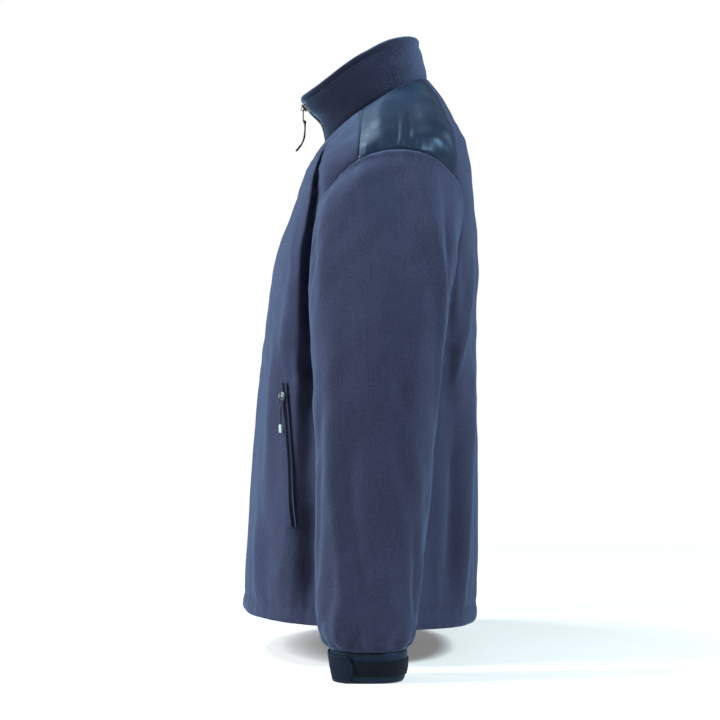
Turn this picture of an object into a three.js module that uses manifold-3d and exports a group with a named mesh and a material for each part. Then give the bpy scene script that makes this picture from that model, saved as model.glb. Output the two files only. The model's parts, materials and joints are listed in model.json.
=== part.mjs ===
// A fleece zip jacket in its worn shape, with nobody in it: two fronts, a back, woven shoulder yokes,
// a standing collar, sleeves with tabbed cuffs, a centre-front zip and two zipped hand pockets.
// Sizes are in millimetres. +Z is up, the front faces -Y and the wearer's left is +X. The origin lies on
// the mid plane, level with the shoulders that would carry the jacket.
import * as THREE from "three";
import Module from "manifold-3d";

const kernel = await Module();
kernel.setup();
const { Manifold, Mesh } = kernel;

// Thicknesses and gaps
const FLEECE = 2.6;
const WOVEN = 1.6;
const COLLAR_CLOTH = 5.2; // two layers of fleece turned over the top edge
const SEAM_GAP = 0.4;
const LIFT = 0.4; // how far a piece on a panel stands off it

// One object for each row, from the names of the columns
function table(columns, rows) {
  const names = columns.split(" ");
  return rows.map((row) => Object.fromEntries(names.map((name, i) => [name, row[i]])));
}
const RING = "name frontY frontZ sideX sideY sideZ backY backZ frontPower backPower";
const TILTED_RING = "name outerX outerZ innerX innerZ frontY backY power";
const FOLD = "fromA fromB toA toB width height";

// The trunk, from the hem to the neckline. Each row is one ring: its front, side and back points, and how
// square its front and back quarters are (2 is an ellipse).
const TORSO = table(RING, [
  ["hem", -177, -652, 222, -14, -655, 136, -664, 2.05, 2.3],
  ["hip", -172, -572, 220, -12, -574, 137, -580, 2.1, 2.4],
  ["waist", -162, -425, 215, -8, -425, 136, -428, 2.15, 2.6],
  ["belly", -153, -330, 211, -2, -330, 135, -331, 2.2, 2.8],
  ["armpit", -146, -272, 209, 5, -275, 135, -273, 2.35, 3],
  ["chest", -133, -186, 208, 12, -190, 135, -186, 2.6, 3.3],
  ["cross", -109, -118, 214, 18, -110, 130, -105, 2.7, 3.4],
  ["edge", -96, -80, 231, 18, -61, 122, -42, 2.7, 3.1],
  ["shoulder", -87, -60, 196, 17, -24, 108, -8, 2.5, 2.7],
  ["inner", -78, -43, 135, 13, 7, 92, 28, 2.3, 2.4],
  ["neck", -66, -26, 78, 8, 26, 71, 58, 2.1, 2.2],
]);
const NECK = TORSO.length - 1;
const ARMPIT = 4;

// The standing collar, from the neckline to its top edge, in the same columns.
const COLLAR = table(RING, [
  ["seam", -66, -26, 78, 8, 26, 71, 58, 2.1, 2.2],
  ["low", -72, -3, 77, 3, 47, 67, 76, 2.1, 2.2],
  ["high", -87, 13, 74, -5, 67, 63, 93, 2.05, 2.2],
  ["top", -101, 33, 70, -12, 87, 57, 109, 1.95, 2.3],
]);
const COLLAR_DIP = 5; // its top edge sags this much between its front and its side

// The left armhole as a closed line on the trunk: phi in degrees from the centre front, v in TORSO rows.
const ARMHOLE = table("name phi v", [
  ["armpit", 93, 4.0],
  ["under front", 73, 4.2],
  ["low front", 60, 4.75],
  ["front", 53, 5.4],
  ["high front", 50.8, 5.9],
  ["below yoke", 57, 6.27],
  ["yoke front", 70, 6.92],
  ["top", 90, 7.05],
  ["behind top", 112, 6.8],
  ["yoke back", 130, 6.27],
  ["high back", 135.5, 5.86],
  ["back", 131, 5.3],
  ["low back", 121, 4.7],
  ["under back", 107, 4.18],
]);
const ARMHOLE_REACH = 93; // half its depth from front to back
const YOKE_FRONT = 6;
const ARMHOLE_TOP = 7;
const YOKE_BACK = 9;
const SIDE_SEAM = ARMHOLE[0].phi;
const NECK_AT_YOKE_FRONT = 70; // degrees round the neckline
const NECK_AT_YOKE_BACK = 146;

// The left sleeve below its armhole. A row is a tilted ring: its outer and inner points as the front view
// shows them, and its front and back reach.
const SLEEVE = table(TILTED_RING, [
  ["cap", 258, -97, 216, -281, -80, 99, 2.3],
  ["cap low", 286, -150, 221, -289, -82, 92, 2.3],
  ["arm", 311, -215, 225, -302, -81, 87, 2.3],
  ["biceps", 329, -285, 228, -327, -79, 81, 2.3],
  ["above elbow", 338, -360, 232, -374, -77, 75, 2.3],
  ["elbow", 342, -450, 238, -453, -74, 68, 2.3],
  ["forearm", 343, -540, 244, -540, -74, 59, 2.3],
  ["wrist", 345, -610, 250, -609, -74, 50, 2.3],
  ["blouse", 345, -648, 253, -647, -69, 47, 2.4],
  ["cuff seam", 338, -668, 259, -667, -57, 37, 2.4],
]);
const SLEEVE_ROWS = SLEEVE.length;

// The cuff band, in the sleeve's columns.
const CUFF = table(TILTED_RING, [
  ["seam", 338, -668.6, 259, -667.6, -57, 37, 2.4],
  ["band", 339, -688, 260, -687, -54, 36, 2.4],
  ["edge", 338, -704.5, 262, -703.5, -50.5, 33.5, 2.4],
]);

// The largest soft folds. On the trunk a fold runs between two points in phi and v, and on a sleeve between
// two points in degrees round from its outer side (back positive) and SLEEVE rows. Height below 0 is a
// trough.
const TORSO_FOLDS = table(FOLD, [
  [34, 3.9, 37, 1.5, 15, 5.5],
  [42, 4.5, 42, 3.1, 13, 4.5],
  [28, 1.5, 34, 0.3, 15, 4.5],
  [63, 4.1, 62, 2.3, 20, -6],
  [66, 1.3, 63, 0.2, 22, -5.5],
  [144, 4.9, 131, 2.7, 11, 5],
  [151, 3.2, 141, 0.3, 14, 5],
  [138, 2.4, 131, 0.3, 15, -5],
  [166, 6.2, 172, 3.4, 16, -3.5],
  [191, 3.4, 197, 0.5, 18, 4],
  [216, 5.0, 228, 2.5, 12, 5],
  [208, 2.9, 217, 0.3, 14, 4.5],
  [223, 2.2, 230, 0.4, 15, -5],
  [296, 4.1, 299, 2.2, 20, -6],
  [293, 1.2, 297, 0.2, 22, -5],
  [317, 4.6, 318, 3.2, 13, 4],
  [327, 3.7, 322, 1.4, 15, 5],
  [333, 1.4, 327, 0.3, 15, 4],
]);
const SLEEVE_FOLDS = table(FOLD, [
  [36, 0.6, 64, 3.6, 13, 4.5],
  [12, 0.8, 22, 3.4, 14, -3],
  [-44, 0.8, -52, 3.4, 13, 3.5],
  [-40, 4.2, -46, 6.8, 13, 4],
  [30, 5.2, 58, 7.3, 13, 4],
  [44, 6.6, 66, 8.3, 12, -3.5],
  [-28, 7.6, -42, 9.6, 11, 4],
  [-12, 8.5, -24, 9.8, 9, -3.5],
  [168, 1.6, 150, 4.2, 16, -4],
  [-150, 4.4, -132, 6.6, 15, 3.5],
]);
const TORSO_FOLD_SCALE = { a: 3.3, b: 85 }; // mm for a degree, and for a row
const SLEEVE_FOLD_SCALE = { a: 1.25, b: 55 };
const HEM_STITCH = { v: 0.29, width: 0.075, depth: 1.8 }; // the turned hem draws the cloth in here

// Centre-front zip
const ZIP_HALF_OPENING = 5;
const ZIP_TAPE = { fromX: 0.25, toX: ZIP_HALF_OPENING - 0.35, out: -1.1, thick: 1 };
const ZIP_CHAIN = { halfWidth: 2.7, out: 0.9, thick: 1.6 };
const ZIP_TOP = 2.72; // collar row where the chain ends
const SLIDER = { length: 10.5, width: 7.4, thick: 2.6, collarRow: 2.44 };
const EYE = { radius: 1.9, bar: 1, width: 1.5, rise: 1, pocketRise: 2.6 };
const PULL_DROP = -0.9; // the pull's loop rests low in the eye
const FRONT_PULL = { loop: 16, loopHalfWidth: 2.6, cord: 0.75 };

// Hand pockets: a slanting zip between two lips of fleece
const POCKET = { topPhi: 43.5, topV: 2.76, footPhi: 55, footV: 1.3, mmPerDegree: 3.6 };
const LIP = { from: 1.7, to: 6.6, thick: 1.5 };
const POCKET_ZIP = { halfWidth: 1.25, thick: 1.2 };
const POCKET_SLIDER_AT = 0.86; // share of the way up the zip
const POCKET_PULL = { loop: 13, loopHalfWidth: 2.4, cord: 0.65, grip: 22, gripRadius: 1.05 };
const POCKET_TIP = [5.6, 2.2, 10.5];

const rad = THREE.MathUtils.degToRad;
const vec = (x, y, z) => new THREE.Vector3(x, y, z);

// A value between rows, on a smooth curve through all of them.
function between(rows, column, t) {
  const last = rows.length - 1;
  const i = THREE.MathUtils.clamp(Math.floor(t), 0, last - 1);
  const f = t - i;
  const b = rows[i][column];
  const c = rows[i + 1][column];
  const a = i > 0 ? rows[i - 1][column] : 2 * b - c;
  const d = i + 2 <= last ? rows[i + 2][column] : 2 * c - b;
  const bend = 2 * a - 5 * b + 4 * c - d;
  const twist = 3 * b - a - 3 * c + d;
  return 0.5 * (2 * b + (c - a) * f + bend * f ** 2 + twist * f ** 3);
}

// The same on a closed line, where the last row joins the first.
function around(rows, column, t) {
  const n = rows.length;
  const start = Math.floor(t);
  const four = [-1, 0, 1, 2].map((k) => rows[(((start + k) % n) + n) % n]);
  return between(four, column, 1 + t - start);
}

// How far a squared ellipse of a given power reaches, as a share of an ellipse's own radii.
function squared(angle, power) {
  const sum = Math.abs(Math.sin(angle)) ** power + Math.abs(Math.cos(angle)) ** power;
  return sum ** (-1 / power);
}

// A point on a ring of the trunk or collar.
function ringPoint(rows, phi, v) {
  const at = (column) => between(rows, column, v);
  const angle = rad(phi);
  const isFront = Math.cos(angle) > 0;
  const reach = squared(angle, at(isFront ? "frontPower" : "backPower"));
  const ahead = reach * Math.cos(angle);
  const [frontZ, sideZ, backZ] = [at("frontZ"), at("sideZ"), at("backZ")];
  return vec(
    at("sideX") * reach * Math.sin(angle),
    at("sideY") + (at(isFront ? "frontY" : "backY") - at("sideY")) * Math.abs(ahead),
    sideZ - (ahead * (backZ - frontZ)) / 2 + ahead ** 2 * ((backZ + frontZ) / 2 - sideZ),
  );
}

// The height of all folds at a point, from its distance to each fold's line.
function foldHeight(folds, scale, a, b) {
  let height = 0;
  for (const fold of folds) {
    const run = new THREE.Vector2((fold.toA - fold.fromA) * scale.a, (fold.toB - fold.fromB) * scale.b);
    const offset = new THREE.Vector2((a - fold.fromA) * scale.a, (b - fold.fromB) * scale.b);
    const share = THREE.MathUtils.clamp(offset.dot(run) / run.lengthSq(), 0, 1);
    const away = offset.sub(run.multiplyScalar(share)).length() / fold.width;
    const taper = Math.sin(Math.PI * (0.12 + 0.76 * share));
    height += fold.height * taper * Math.exp(-(away ** 2));
  }
  return height;
}

// The unit normal of a surface, pointing out of the garment.
function normalOf(surface, a, b) {
  const step = 0.02;
  const alongA = surface(a + 10 * step, b).sub(surface(a - 10 * step, b));
  const alongB = surface(a, b + step).sub(surface(a, b - step));
  return alongA.cross(alongB).normalize();
}

const baseTorso = (phi, v) => ringPoint(TORSO, phi, v);

function torso(phi, v) {
  const hem = -HEM_STITCH.depth * Math.exp(-(((v - HEM_STITCH.v) / HEM_STITCH.width) ** 2));
  const height = foldHeight(TORSO_FOLDS, TORSO_FOLD_SCALE, phi, v) + hem;
  return baseTorso(phi, v).addScaledVector(normalOf(baseTorso, phi, v), height);
}

function collar(phi, w) {
  const ahead = Math.max(0, Math.cos(rad(phi)));
  const dip = COLLAR_DIP * (w / (COLLAR.length - 1)) ** 2 * 6.75 * ahead ** 2 * (1 - ahead);
  return ringPoint(COLLAR, phi, w).sub(vec(0, 0, dip));
}

// A point on a tilted ring of the sleeve or cuff. Angle 0 is its outer side, and 90 its back.
function armPoint(row, degrees) {
  const outer = vec(row.outerX, 0, row.outerZ);
  const inner = vec(row.innerX, 0, row.innerZ);
  const angle = rad(degrees);
  const reach = squared(angle, row.power);
  const half = outer.clone().sub(inner).multiplyScalar(0.5);
  const middleY = (row.frontY + row.backY) / 2;
  const halfDepth = (row.backY - row.frontY) / 2;
  return outer
    .add(inner)
    .multiplyScalar(0.5)
    .addScaledVector(half, reach * Math.cos(angle))
    .add(vec(0, middleY + halfDepth * reach * Math.sin(angle), 0));
}

const acrossMidPlane = (point) => vec(-point.x, point.y, point.z);

// Turns a surface whose rows run down into one whose normal points out.
const downward = (surface) => (a, b) => surface(-a, b);

// The trunk as the left side's pieces see it. For the right side's, it's the mirror image of the right.
const trunkOf = (isRight) => (isRight ? (phi, v) => acrossMidPlane(torso(360 - phi, v)) : torso);

// One sleeve, always worked out as the wearer's left. The right one starts at the right armhole's mirror
// image. The sleeve's folds fade out at both seams, so that its ends meet their neighbours.
function armOf(isRight) {
  const trunk = trunkOf(isRight);
  const armhole = (k) => trunk(around(ARMHOLE, "phi", k), around(ARMHOLE, "v", k));
  const top = armhole(ARMHOLE_TOP);
  const centre = top.clone().add(armhole(0)).multiplyScalar(0.5);
  const half = top.clone().sub(centre);
  const angleAt = (k) => {
    const offset = armhole(k).sub(centre);
    const along = offset.dot(half) / half.lengthSq();
    return THREE.MathUtils.radToDeg(Math.atan2(offset.y / ARMHOLE_REACH, along));
  };
  const plain = (k, w) => {
    const angle = angleAt(k);
    const points = [armhole(k), ...SLEEVE.map((row) => armPoint(row, angle))];
    return vec(between(points, "x", w), between(points, "y", w), between(points, "z", w));
  };
  const surface = (k, w) => {
    const fadeOut = 1 - THREE.MathUtils.smoothstep(w, SLEEVE_ROWS - 0.5, SLEEVE_ROWS);
    const fade = THREE.MathUtils.smoothstep(w, 0, 0.9) * fadeOut;
    const height = fade * foldHeight(SLEEVE_FOLDS, SLEEVE_FOLD_SCALE, angleAt(k), w);
    return plain(k, w).addScaledVector(normalOf(downward(plain), -k, w), height);
  };
  const normal = (k, w) => {
    const own = normalOf(downward(surface), -k, w);
    if (w > 0) return own;
    return own.add(normalOf(trunk, around(ARMHOLE, "phi", k), around(ARMHOLE, "v", k))).normalize();
  };
  return { surface, normal, seamNormal: (k) => (isRight ? acrossMidPlane(normal(k, 0)) : normal(k, 0)) };
}

const arms = { left: armOf(false), right: armOf(true) };

// The direction through the cloth at the neckline, between the trunk's and the collar's own
const neckNormal = (phi) => normalOf(torso, phi, NECK).add(normalOf(collar, phi, 0)).normalize();

function cuff(degrees, w) {
  const points = CUFF.map((row) => armPoint(row, degrees));
  return vec(between(points, "x", w), between(points, "y", w), between(points, "z", w));
}

// Builds one closed wall from two matching grids of points. Each edge face is split from its rearmost outer
// point, so that two walls with a common seam split it alike.
function wall(outer, inner, wrapped = false) {
  const rows = outer.length;
  const columns = outer[0].length;
  const across = wrapped ? columns : columns - 1;
  const points = [...outer.flat(), ...inner.flat()];
  const faces = [];
  const index = (i, j, isInner) => (isInner ? rows * columns : 0) + i * columns + (j % columns);
  const apart = (a, b) => points[a].distanceTo(points[b]);
  const split = (a, b, c, d, isAtA) => faces.push(...(isAtA ? [a, b, c, a, c, d] : [b, c, d, b, d, a]));
  const face = (a, b, c, d) => split(a, b, c, d, apart(a, c) <= apart(b, d));
  const edge = ([i, j], [m, n]) => {
    const [a, b, c, d] = [index(i, j), index(i, j, true), index(m, n, true), index(m, n)];
    split(a, b, c, d, points[a].y > points[d].y);
  };
  for (let i = 0; i < rows - 1; i++)
    for (let j = 0; j < across; j++) {
      face(index(i, j), index(i, j + 1), index(i + 1, j + 1), index(i + 1, j));
      face(index(i, j, true), index(i + 1, j, true), index(i + 1, j + 1, true), index(i, j + 1, true));
    }
  for (let j = 0; j < across; j++) {
    edge([0, j], [0, j + 1]);
    edge([rows - 1, j + 1], [rows - 1, j]);
  }
  for (let i = 0; i < rows - 1 && !wrapped; i++) {
    edge([i + 1, 0], [i, 0]);
    edge([i, columns - 1], [i + 1, columns - 1]);
  }
  return solid(points, faces);
}

// A closed mesh with its faces turned outwards.
function solid(points, faces) {
  let volume = 0;
  for (let i = 0; i < faces.length; i += 3)
    volume += points[faces[i]].dot(points[faces[i + 1]].clone().cross(points[faces[i + 2]]));
  const turned = faces.map((_, i) => faces[i + [1, -1, 0][i % 3]]);
  return new THREE.BufferGeometry().setFromPoints(points).setIndex(volume < 0 ? turned : faces);
}

// Draws a grid's edges in by half a seam gap, square to each edge, so that neighbours don't touch.
function drawIn(grid, wrapped) {
  const last = grid.length - 1;
  const end = grid[0].length - 1;
  const edge = (line, inside) =>
    line.map((point, i) => {
      const isLoop = wrapped && line.length === end + 1;
      const before = line[isLoop ? (i + end) % (end + 1) : Math.max(i - 1, 0)];
      const after = line[isLoop ? (i + 1) % (end + 1) : Math.min(i + 1, line.length - 1)];
      const along = after.clone().sub(before).normalize();
      const move = inside[i].clone().sub(point);
      return move.addScaledVector(along, -move.dot(along)).setLength(SEAM_GAP / 2);
    });
  const column = (j) => grid.map((row) => row[j]);
  const pairs = [
    [grid[0], grid[1]],
    [grid[last], grid[last - 1]],
  ];
  if (!wrapped) pairs.push([column(0), column(1)], [column(end), column(end - 1)]);
  const moves = pairs.map(([line, inside]) => [line, edge(line, inside)]);
  for (const [line, steps] of moves) line.forEach((point, i) => point.add(steps[i]));
}

// A cloth wall on a surface. The domain is a grid of [a, b] pairs, and thickness and lift are numbers.
function cloth(surface, domain, options) {
  const { thick, lift = 0, wrapped = false, flip = false, seams = true, normal = normalOf } = options;
  const side = flip ? -1 : 1;
  const moved = ([a, b, k], out) => surface(a, b).addScaledVector(normal(surface, a, b, k), side * out);
  const layer = (out) => domain.map((row) => row.map((at) => moved(at, out)));
  const outer = layer(lift > 0 ? lift + thick : 0);
  const inner = layer(lift > 0 ? lift : -thick);
  if (seams) [outer, inner].forEach((grid) => drawIn(grid, wrapped));
  return wall(outer, inner, wrapped);
}

function steps(from, to, count) {
  return Array.from({ length: count + 1 }, (_, i) => from + ((to - from) * i) / count);
}

// The direction through a panel of the trunk. At the armhole, k says how far round it the point lies.
function panelNormal(surface, phi, v, k) {
  if (k !== undefined) return (phi > 180 ? arms.right : arms.left).seamNormal(k);
  return v === NECK ? neckNormal(phi) : normalOf(surface, phi, v);
}
const collarNormal = (surface, phi, w) => (w === 0 ? neckNormal(phi) : normalOf(surface, phi, w));

// Fills the inside of four boundary lines, each a list of [a, b] pairs, with a grid. Its rows take on the
// top line's shape from the row named in bendFrom upwards.
function fill(left, right, bottom, top, bendFrom = 0) {
  const rows = left.length - 1;
  const columns = bottom.length - 1;
  return left.map((_, i) =>
    bottom.map((__, j) => {
      if (j === 0 || j === columns) return j === 0 ? left[i] : right[i];
      if (i === 0 || i === rows) return i === 0 ? bottom[j] : top[j];
      const s = j / columns;
      const t = Math.max(0, (i - bendFrom) / (rows - bendFrom)) ** (bendFrom ? 2 : 1);
      const straight = mix(left[i], right[i], s);
      const low = mix(bottom[0], bottom[columns], s);
      const high = mix(top[0], top[columns], s);
      return [0, 1].map((c) => straight[c] + (1 - t) * (bottom[j][c] - low[c]) + t * (top[j][c] - high[c]));
    }),
  );
}

// Shared seam lines, so that neighbours have the same points along them
const LOWER_ROWS = [0, 0.14, 0.29, 0.44, 0.9, 1.4, 2, 2.6, 3.2, 3.65, 4];
const PER_SPAN = 2; // steps for each span of the armhole table
const YOKE_ROWS = 7;
const NECK_FRONT_STEPS = 7;
const NECK_BACK_STEPS = 3;
const armholeAt = (k) => [around(ARMHOLE, "phi", k), around(ARMHOLE, "v", k), k];
const armholeLine = (from, to) => steps(from, to, Math.abs(to - from) * PER_SPAN).map(armholeAt);
const mix = (from, to, t) => [from[0] + (to[0] - from[0]) * t, from[1] + (to[1] - from[1]) * t];
function line(from, to, count) {
  return [from, ...steps(0, 1, count).slice(1, -1).map((t) => mix(from, to, t)), to];
}
function zipEdge(rows, v) {
  return THREE.MathUtils.radToDeg(Math.asin(ZIP_HALF_OPENING / between(rows, "sideX", v)));
}
const yokeFrontCorner = [ARMHOLE[YOKE_FRONT].phi, ARMHOLE[YOKE_FRONT].v, YOKE_FRONT];
const yokeBackCorner = [ARMHOLE[YOKE_BACK].phi, ARMHOLE[YOKE_BACK].v, YOKE_BACK];
const yokeFrontSeam = line([NECK_AT_YOKE_FRONT, NECK], yokeFrontCorner, YOKE_ROWS);
const yokeBackSeam = line([NECK_AT_YOKE_BACK, NECK], yokeBackCorner, YOKE_ROWS);
const neckFront = line([zipEdge(TORSO, NECK), NECK], [NECK_AT_YOKE_FRONT, NECK], NECK_FRONT_STEPS);
const yokeSteps = (YOKE_BACK - YOKE_FRONT) * PER_SPAN;
const neckYoke = line([NECK_AT_YOKE_FRONT, NECK], [NECK_AT_YOKE_BACK, NECK], yokeSteps);
const neckBack = line([NECK_AT_YOKE_BACK, NECK], [180, NECK], NECK_BACK_STEPS);
const mirrored = (grid) => grid.map((row) => row.map(([phi, v, k]) => [360 - phi, v, k]));

function frontDomain() {
  const upper = steps(0, 1, YOKE_FRONT * PER_SPAN).slice(1);
  const heights = [...LOWER_ROWS, ...upper.map((t) => ARMPIT + (NECK - ARMPIT) * t ** 1.6)];
  const left = heights.map((v) => [zipEdge(TORSO, v), v]);
  const right = [...LOWER_ROWS.slice(0, -1).map((v) => [SIDE_SEAM, v]), ...armholeLine(0, YOKE_FRONT)];
  const top = [...neckFront, ...yokeFrontSeam.slice(1)];
  const bottom = line([zipEdge(TORSO, 0), 0], [SIDE_SEAM, 0], top.length - 1);
  return fill(left, right, bottom, top, LOWER_ROWS.length - 1);
}

function backDomain() {
  const spans = ARMHOLE.length - YOKE_BACK;
  const upper = steps(0, 1, spans * PER_SPAN).slice(1);
  const heights = [...LOWER_ROWS, ...upper.map((t) => ARMPIT + (NECK - ARMPIT) * t ** 1.15)];
  const centre = heights.map((v) => [180, v]);
  const lower = LOWER_ROWS.slice(0, -1).map((v) => [SIDE_SEAM, v]);
  const side = [...lower, ...armholeLine(ARMHOLE.length, YOKE_BACK)];
  const top = [...neckBack.slice().reverse(), ...yokeBackSeam.slice(1)];
  const bottom = line([180, 0], [SIDE_SEAM, 0], top.length - 1);
  const half = fill(centre, side, bottom, top, LOWER_ROWS.length - 1);
  return half.map((row, i) => [...row.slice().reverse(), ...mirrored(half)[i].slice(1)]);
}

function yokeDomain() {
  const bottom = armholeLine(YOKE_FRONT, YOKE_BACK);
  return fill(yokeFrontSeam.slice().reverse(), yokeBackSeam.slice().reverse(), bottom, neckYoke);
}

function collarDomain() {
  const half = [...neckFront, ...neckYoke.slice(1), ...neckBack.slice(1)].map(([phi]) => phi);
  const round = [...half, ...half.slice(0, -1).reverse().map((phi) => 360 - phi)];
  return steps(0, COLLAR.length - 1, 6).map((w) => {
    const edge = zipEdge(COLLAR, w);
    return round.map((phi, j) => [j === 0 ? edge : j === round.length - 1 ? 360 - edge : phi, w]);
  });
}

function sleeveWall({ surface, normal }) {
  const rounds = steps(0, ARMHOLE.length, ARMHOLE.length * PER_SPAN).slice(0, -1);
  const moved = (k, w, out) => surface(k, w).addScaledVector(normal(k, w), out);
  const layer = (out) => steps(0, SLEEVE_ROWS, 19).map((w) => rounds.map((k) => moved(k, w, out)));
  const grids = [layer(0), layer(-FLEECE)];
  grids.forEach((grid) => drawIn(grid, true));
  return wall(...grids, true);
}

const CUFF_STEPS = 28;
function cuffDomain(fromAngle, toAngle, count, fromW, toW, rows) {
  return steps(fromW, toW, rows).map((w) => steps(fromAngle, toAngle, count).map((a) => [a, w]));
}

function cuffWall() {
  const domain = cuffDomain(0, 360, CUFF_STEPS, 0, 2, 4).map((row) => row.slice(0, -1));
  return cloth(cuff, domain, { thick: FLEECE, wrapped: true, flip: true });
}

// The dark loop tape that the tab fastens to
const LOOP_TAPE = { from: -62, to: 128, top: 0.48, foot: 1.5, thick: 1.2 };
function loopTape() {
  const domain = cuffDomain(LOOP_TAPE.from, LOOP_TAPE.to, 16, LOOP_TAPE.top, LOOP_TAPE.foot, 2);
  return cloth(cuff, domain, { thick: LOOP_TAPE.thick, lift: LIFT, flip: true, seams: false });
}

// The tab is sewn on at the inner front, lies over the start of the loop tape and ends in cut corners.
const TAB = { from: -152, to: -22, top: 0.06, foot: 1.97, thick: 1.8, cut: 0.36 };
function tabWall() {
  const columns = 13;
  const domain = steps(0, 1, 6).map((t) =>
    steps(0, 1, columns).map((s) => {
      const corner = s === 1 ? TAB.cut : 0;
      const w = TAB.top + (TAB.foot - TAB.top) * (corner + (1 - 2 * corner) * t);
      return [TAB.from + (TAB.to - TAB.from) * s, w];
    }),
  );
  const over = (a) => THREE.MathUtils.smoothstep(a, LOOP_TAPE.from - 24, LOOP_TAPE.from - 3);
  const lift = (a) => LIFT + (LOOP_TAPE.thick + LIFT) * over(a);
  const moved = ([a, w], out) => cuff(a, w).addScaledVector(normalOf(cuff, a, w), -out - lift(a));
  const layer = (out) => domain.map((row) => row.map((at) => moved(at, out)));
  return wall(layer(TAB.thick), layer(0));
}

// The centre-front line, from the hem up to the collar's top, with its outward normal
const frontStations = [...LOWER_ROWS, 4.6, 5.2, 5.8, 6.5, 7.3, 8.2, 9.1, 9.7];
const collarStations = [0.15, 0.6, 1.1, 1.6, 2.1, SLIDER.collarRow, ZIP_TOP];
function centreFront() {
  const points = [...frontStations.map((v) => torso(0, v)), ...collarStations.map((w) => collar(0, w))];
  return points.map((point, i) => {
    const along = points[Math.min(i + 1, points.length - 1)].clone().sub(points[Math.max(i - 1, 0)]);
    const row = collarStations[i - frontStations.length];
    return { row, point: vec(0, point.y, point.z), normal: vec(0, -along.z, along.y).normalize() };
  });
}

function zipStrip(fromX, toX, out, thick) {
  const stations = centreFront();
  const moved = ({ point, normal }, x, offset) => point.clone().addScaledVector(normal, offset).setX(x);
  const layer = (offset) => stations.map((station) => [fromX, toX].map((x) => moved(station, x, offset)));
  return wall(layer(out), layer(out - thick));
}

// A slider lies in the XY plane with its head up Y. The pull's loop runs through the eye that stands on it.
function sliderShape(rise) {
  const half = SLIDER.width / 2;
  const length = SLIDER.length / 2;
  const outline = new THREE.Shape();
  outline.moveTo(-half * 0.62, length);
  outline.lineTo(-half, length * 0.25);
  outline.quadraticCurveTo(-half, -length * 0.5, -half * 0.5, -length);
  outline.lineTo(half * 0.5, -length);
  outline.quadraticCurveTo(half, -length * 0.5, half, length * 0.25);
  outline.lineTo(half * 0.62, length);
  const depth = SLIDER.thick;
  const body = new THREE.ExtrudeGeometry(outline, { depth, bevelEnabled: false, curveSegments: 4 });
  const outer = EYE.radius + EYE.bar;
  const arch = new THREE.Shape();
  arch.moveTo(-outer, -rise - 0.5);
  arch.absarc(0, 0, outer, Math.PI, 0, true);
  arch.lineTo(outer, -rise - 0.5);
  arch.lineTo(EYE.radius, -rise - 0.5);
  arch.absarc(0, 0, EYE.radius, 0, Math.PI, false);
  arch.lineTo(-EYE.radius, -rise - 0.5);
  const eye = new THREE.ExtrudeGeometry(arch, { depth: EYE.width, bevelEnabled: false, curveSegments: 8 });
  const turn = new THREE.Matrix4().makeBasis(vec(0, 1, 0), vec(0, 0, 1), vec(1, 0, 0));
  eye.applyMatrix4(turn).translate(-EYE.width / 2, 0, SLIDER.thick + rise);
  return joined([body, eye]);
}

// A geometry's corners in order, also where it has no index
function cornersOf(geometry) {
  const count = geometry.getAttribute("position").count;
  return geometry.index ? Array.from(geometry.index.array) : steps(0, count - 1, count - 1);
}

// Joins overlapping closed geometries into one.
function joined(geometries) {
  const manifolds = geometries.map((geometry) => {
    const position = geometry.getAttribute("position");
    const seen = new Map();
    const points = [];
    const faces = cornersOf(geometry).map((corner) => {
      const at = [position.getX(corner), position.getY(corner), position.getZ(corner)];
      const key = at.map((x) => Math.round(x * 1e4)).join();
      if (!seen.has(key)) seen.set(key, points.push(at) - 1);
      return seen.get(key);
    });
    const vertProperties = Float32Array.from(points.flat());
    return new Manifold(new Mesh({ numProp: 3, vertProperties, triVerts: Uint32Array.from(faces) }));
  });
  const mesh = Manifold.union(manifolds).getMesh();
  const geometry = new THREE.BufferGeometry();
  geometry.setAttribute("position", new THREE.Float32BufferAttribute(mesh.vertProperties, 3));
  return geometry.setIndex(Array.from(mesh.triVerts));
}

// The two triangles of one cell in a round grid
function twoFaces(at, i, j) {
  const [a, b, c, d] = [at(i, j), at(i, j + 1), at(i + 1, j + 1), at(i + 1, j)];
  return [a, b, c, a, c, d];
}

// A round rod down a path in the YZ plane, with its own radius at each point and flat ends
function rod(path, radii, sides = 8) {
  const rings = path.map((point, i) => {
    const along = path[Math.min(i + 1, path.length - 1)].clone().sub(path[Math.max(i - 1, 0)]).normalize();
    const other = vec(0, -along.z, along.y);
    const at = (a) => vec(Math.cos(a), 0, 0).addScaledVector(other, Math.sin(a)).multiplyScalar(radii[i]);
    return steps(0, 2 * Math.PI, sides)
      .slice(0, -1)
      .map((a) => at(a).add(point));
  });
  const at = (i, j) => i * sides + (j % sides);
  const last = rings.length - 1;
  const faces = [];
  for (let i = 0; i < last; i++) for (let j = 0; j < sides; j++) faces.push(...twoFaces(at, i, j));
  for (let j = 1; j < sides - 1; j++) {
    faces.push(at(0, 0), at(0, j + 1), at(0, j));
    faces.push(at(last, 0), at(last, j), at(last, j + 1));
  }
  return solid(rings.flat(), faces);
}

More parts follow.
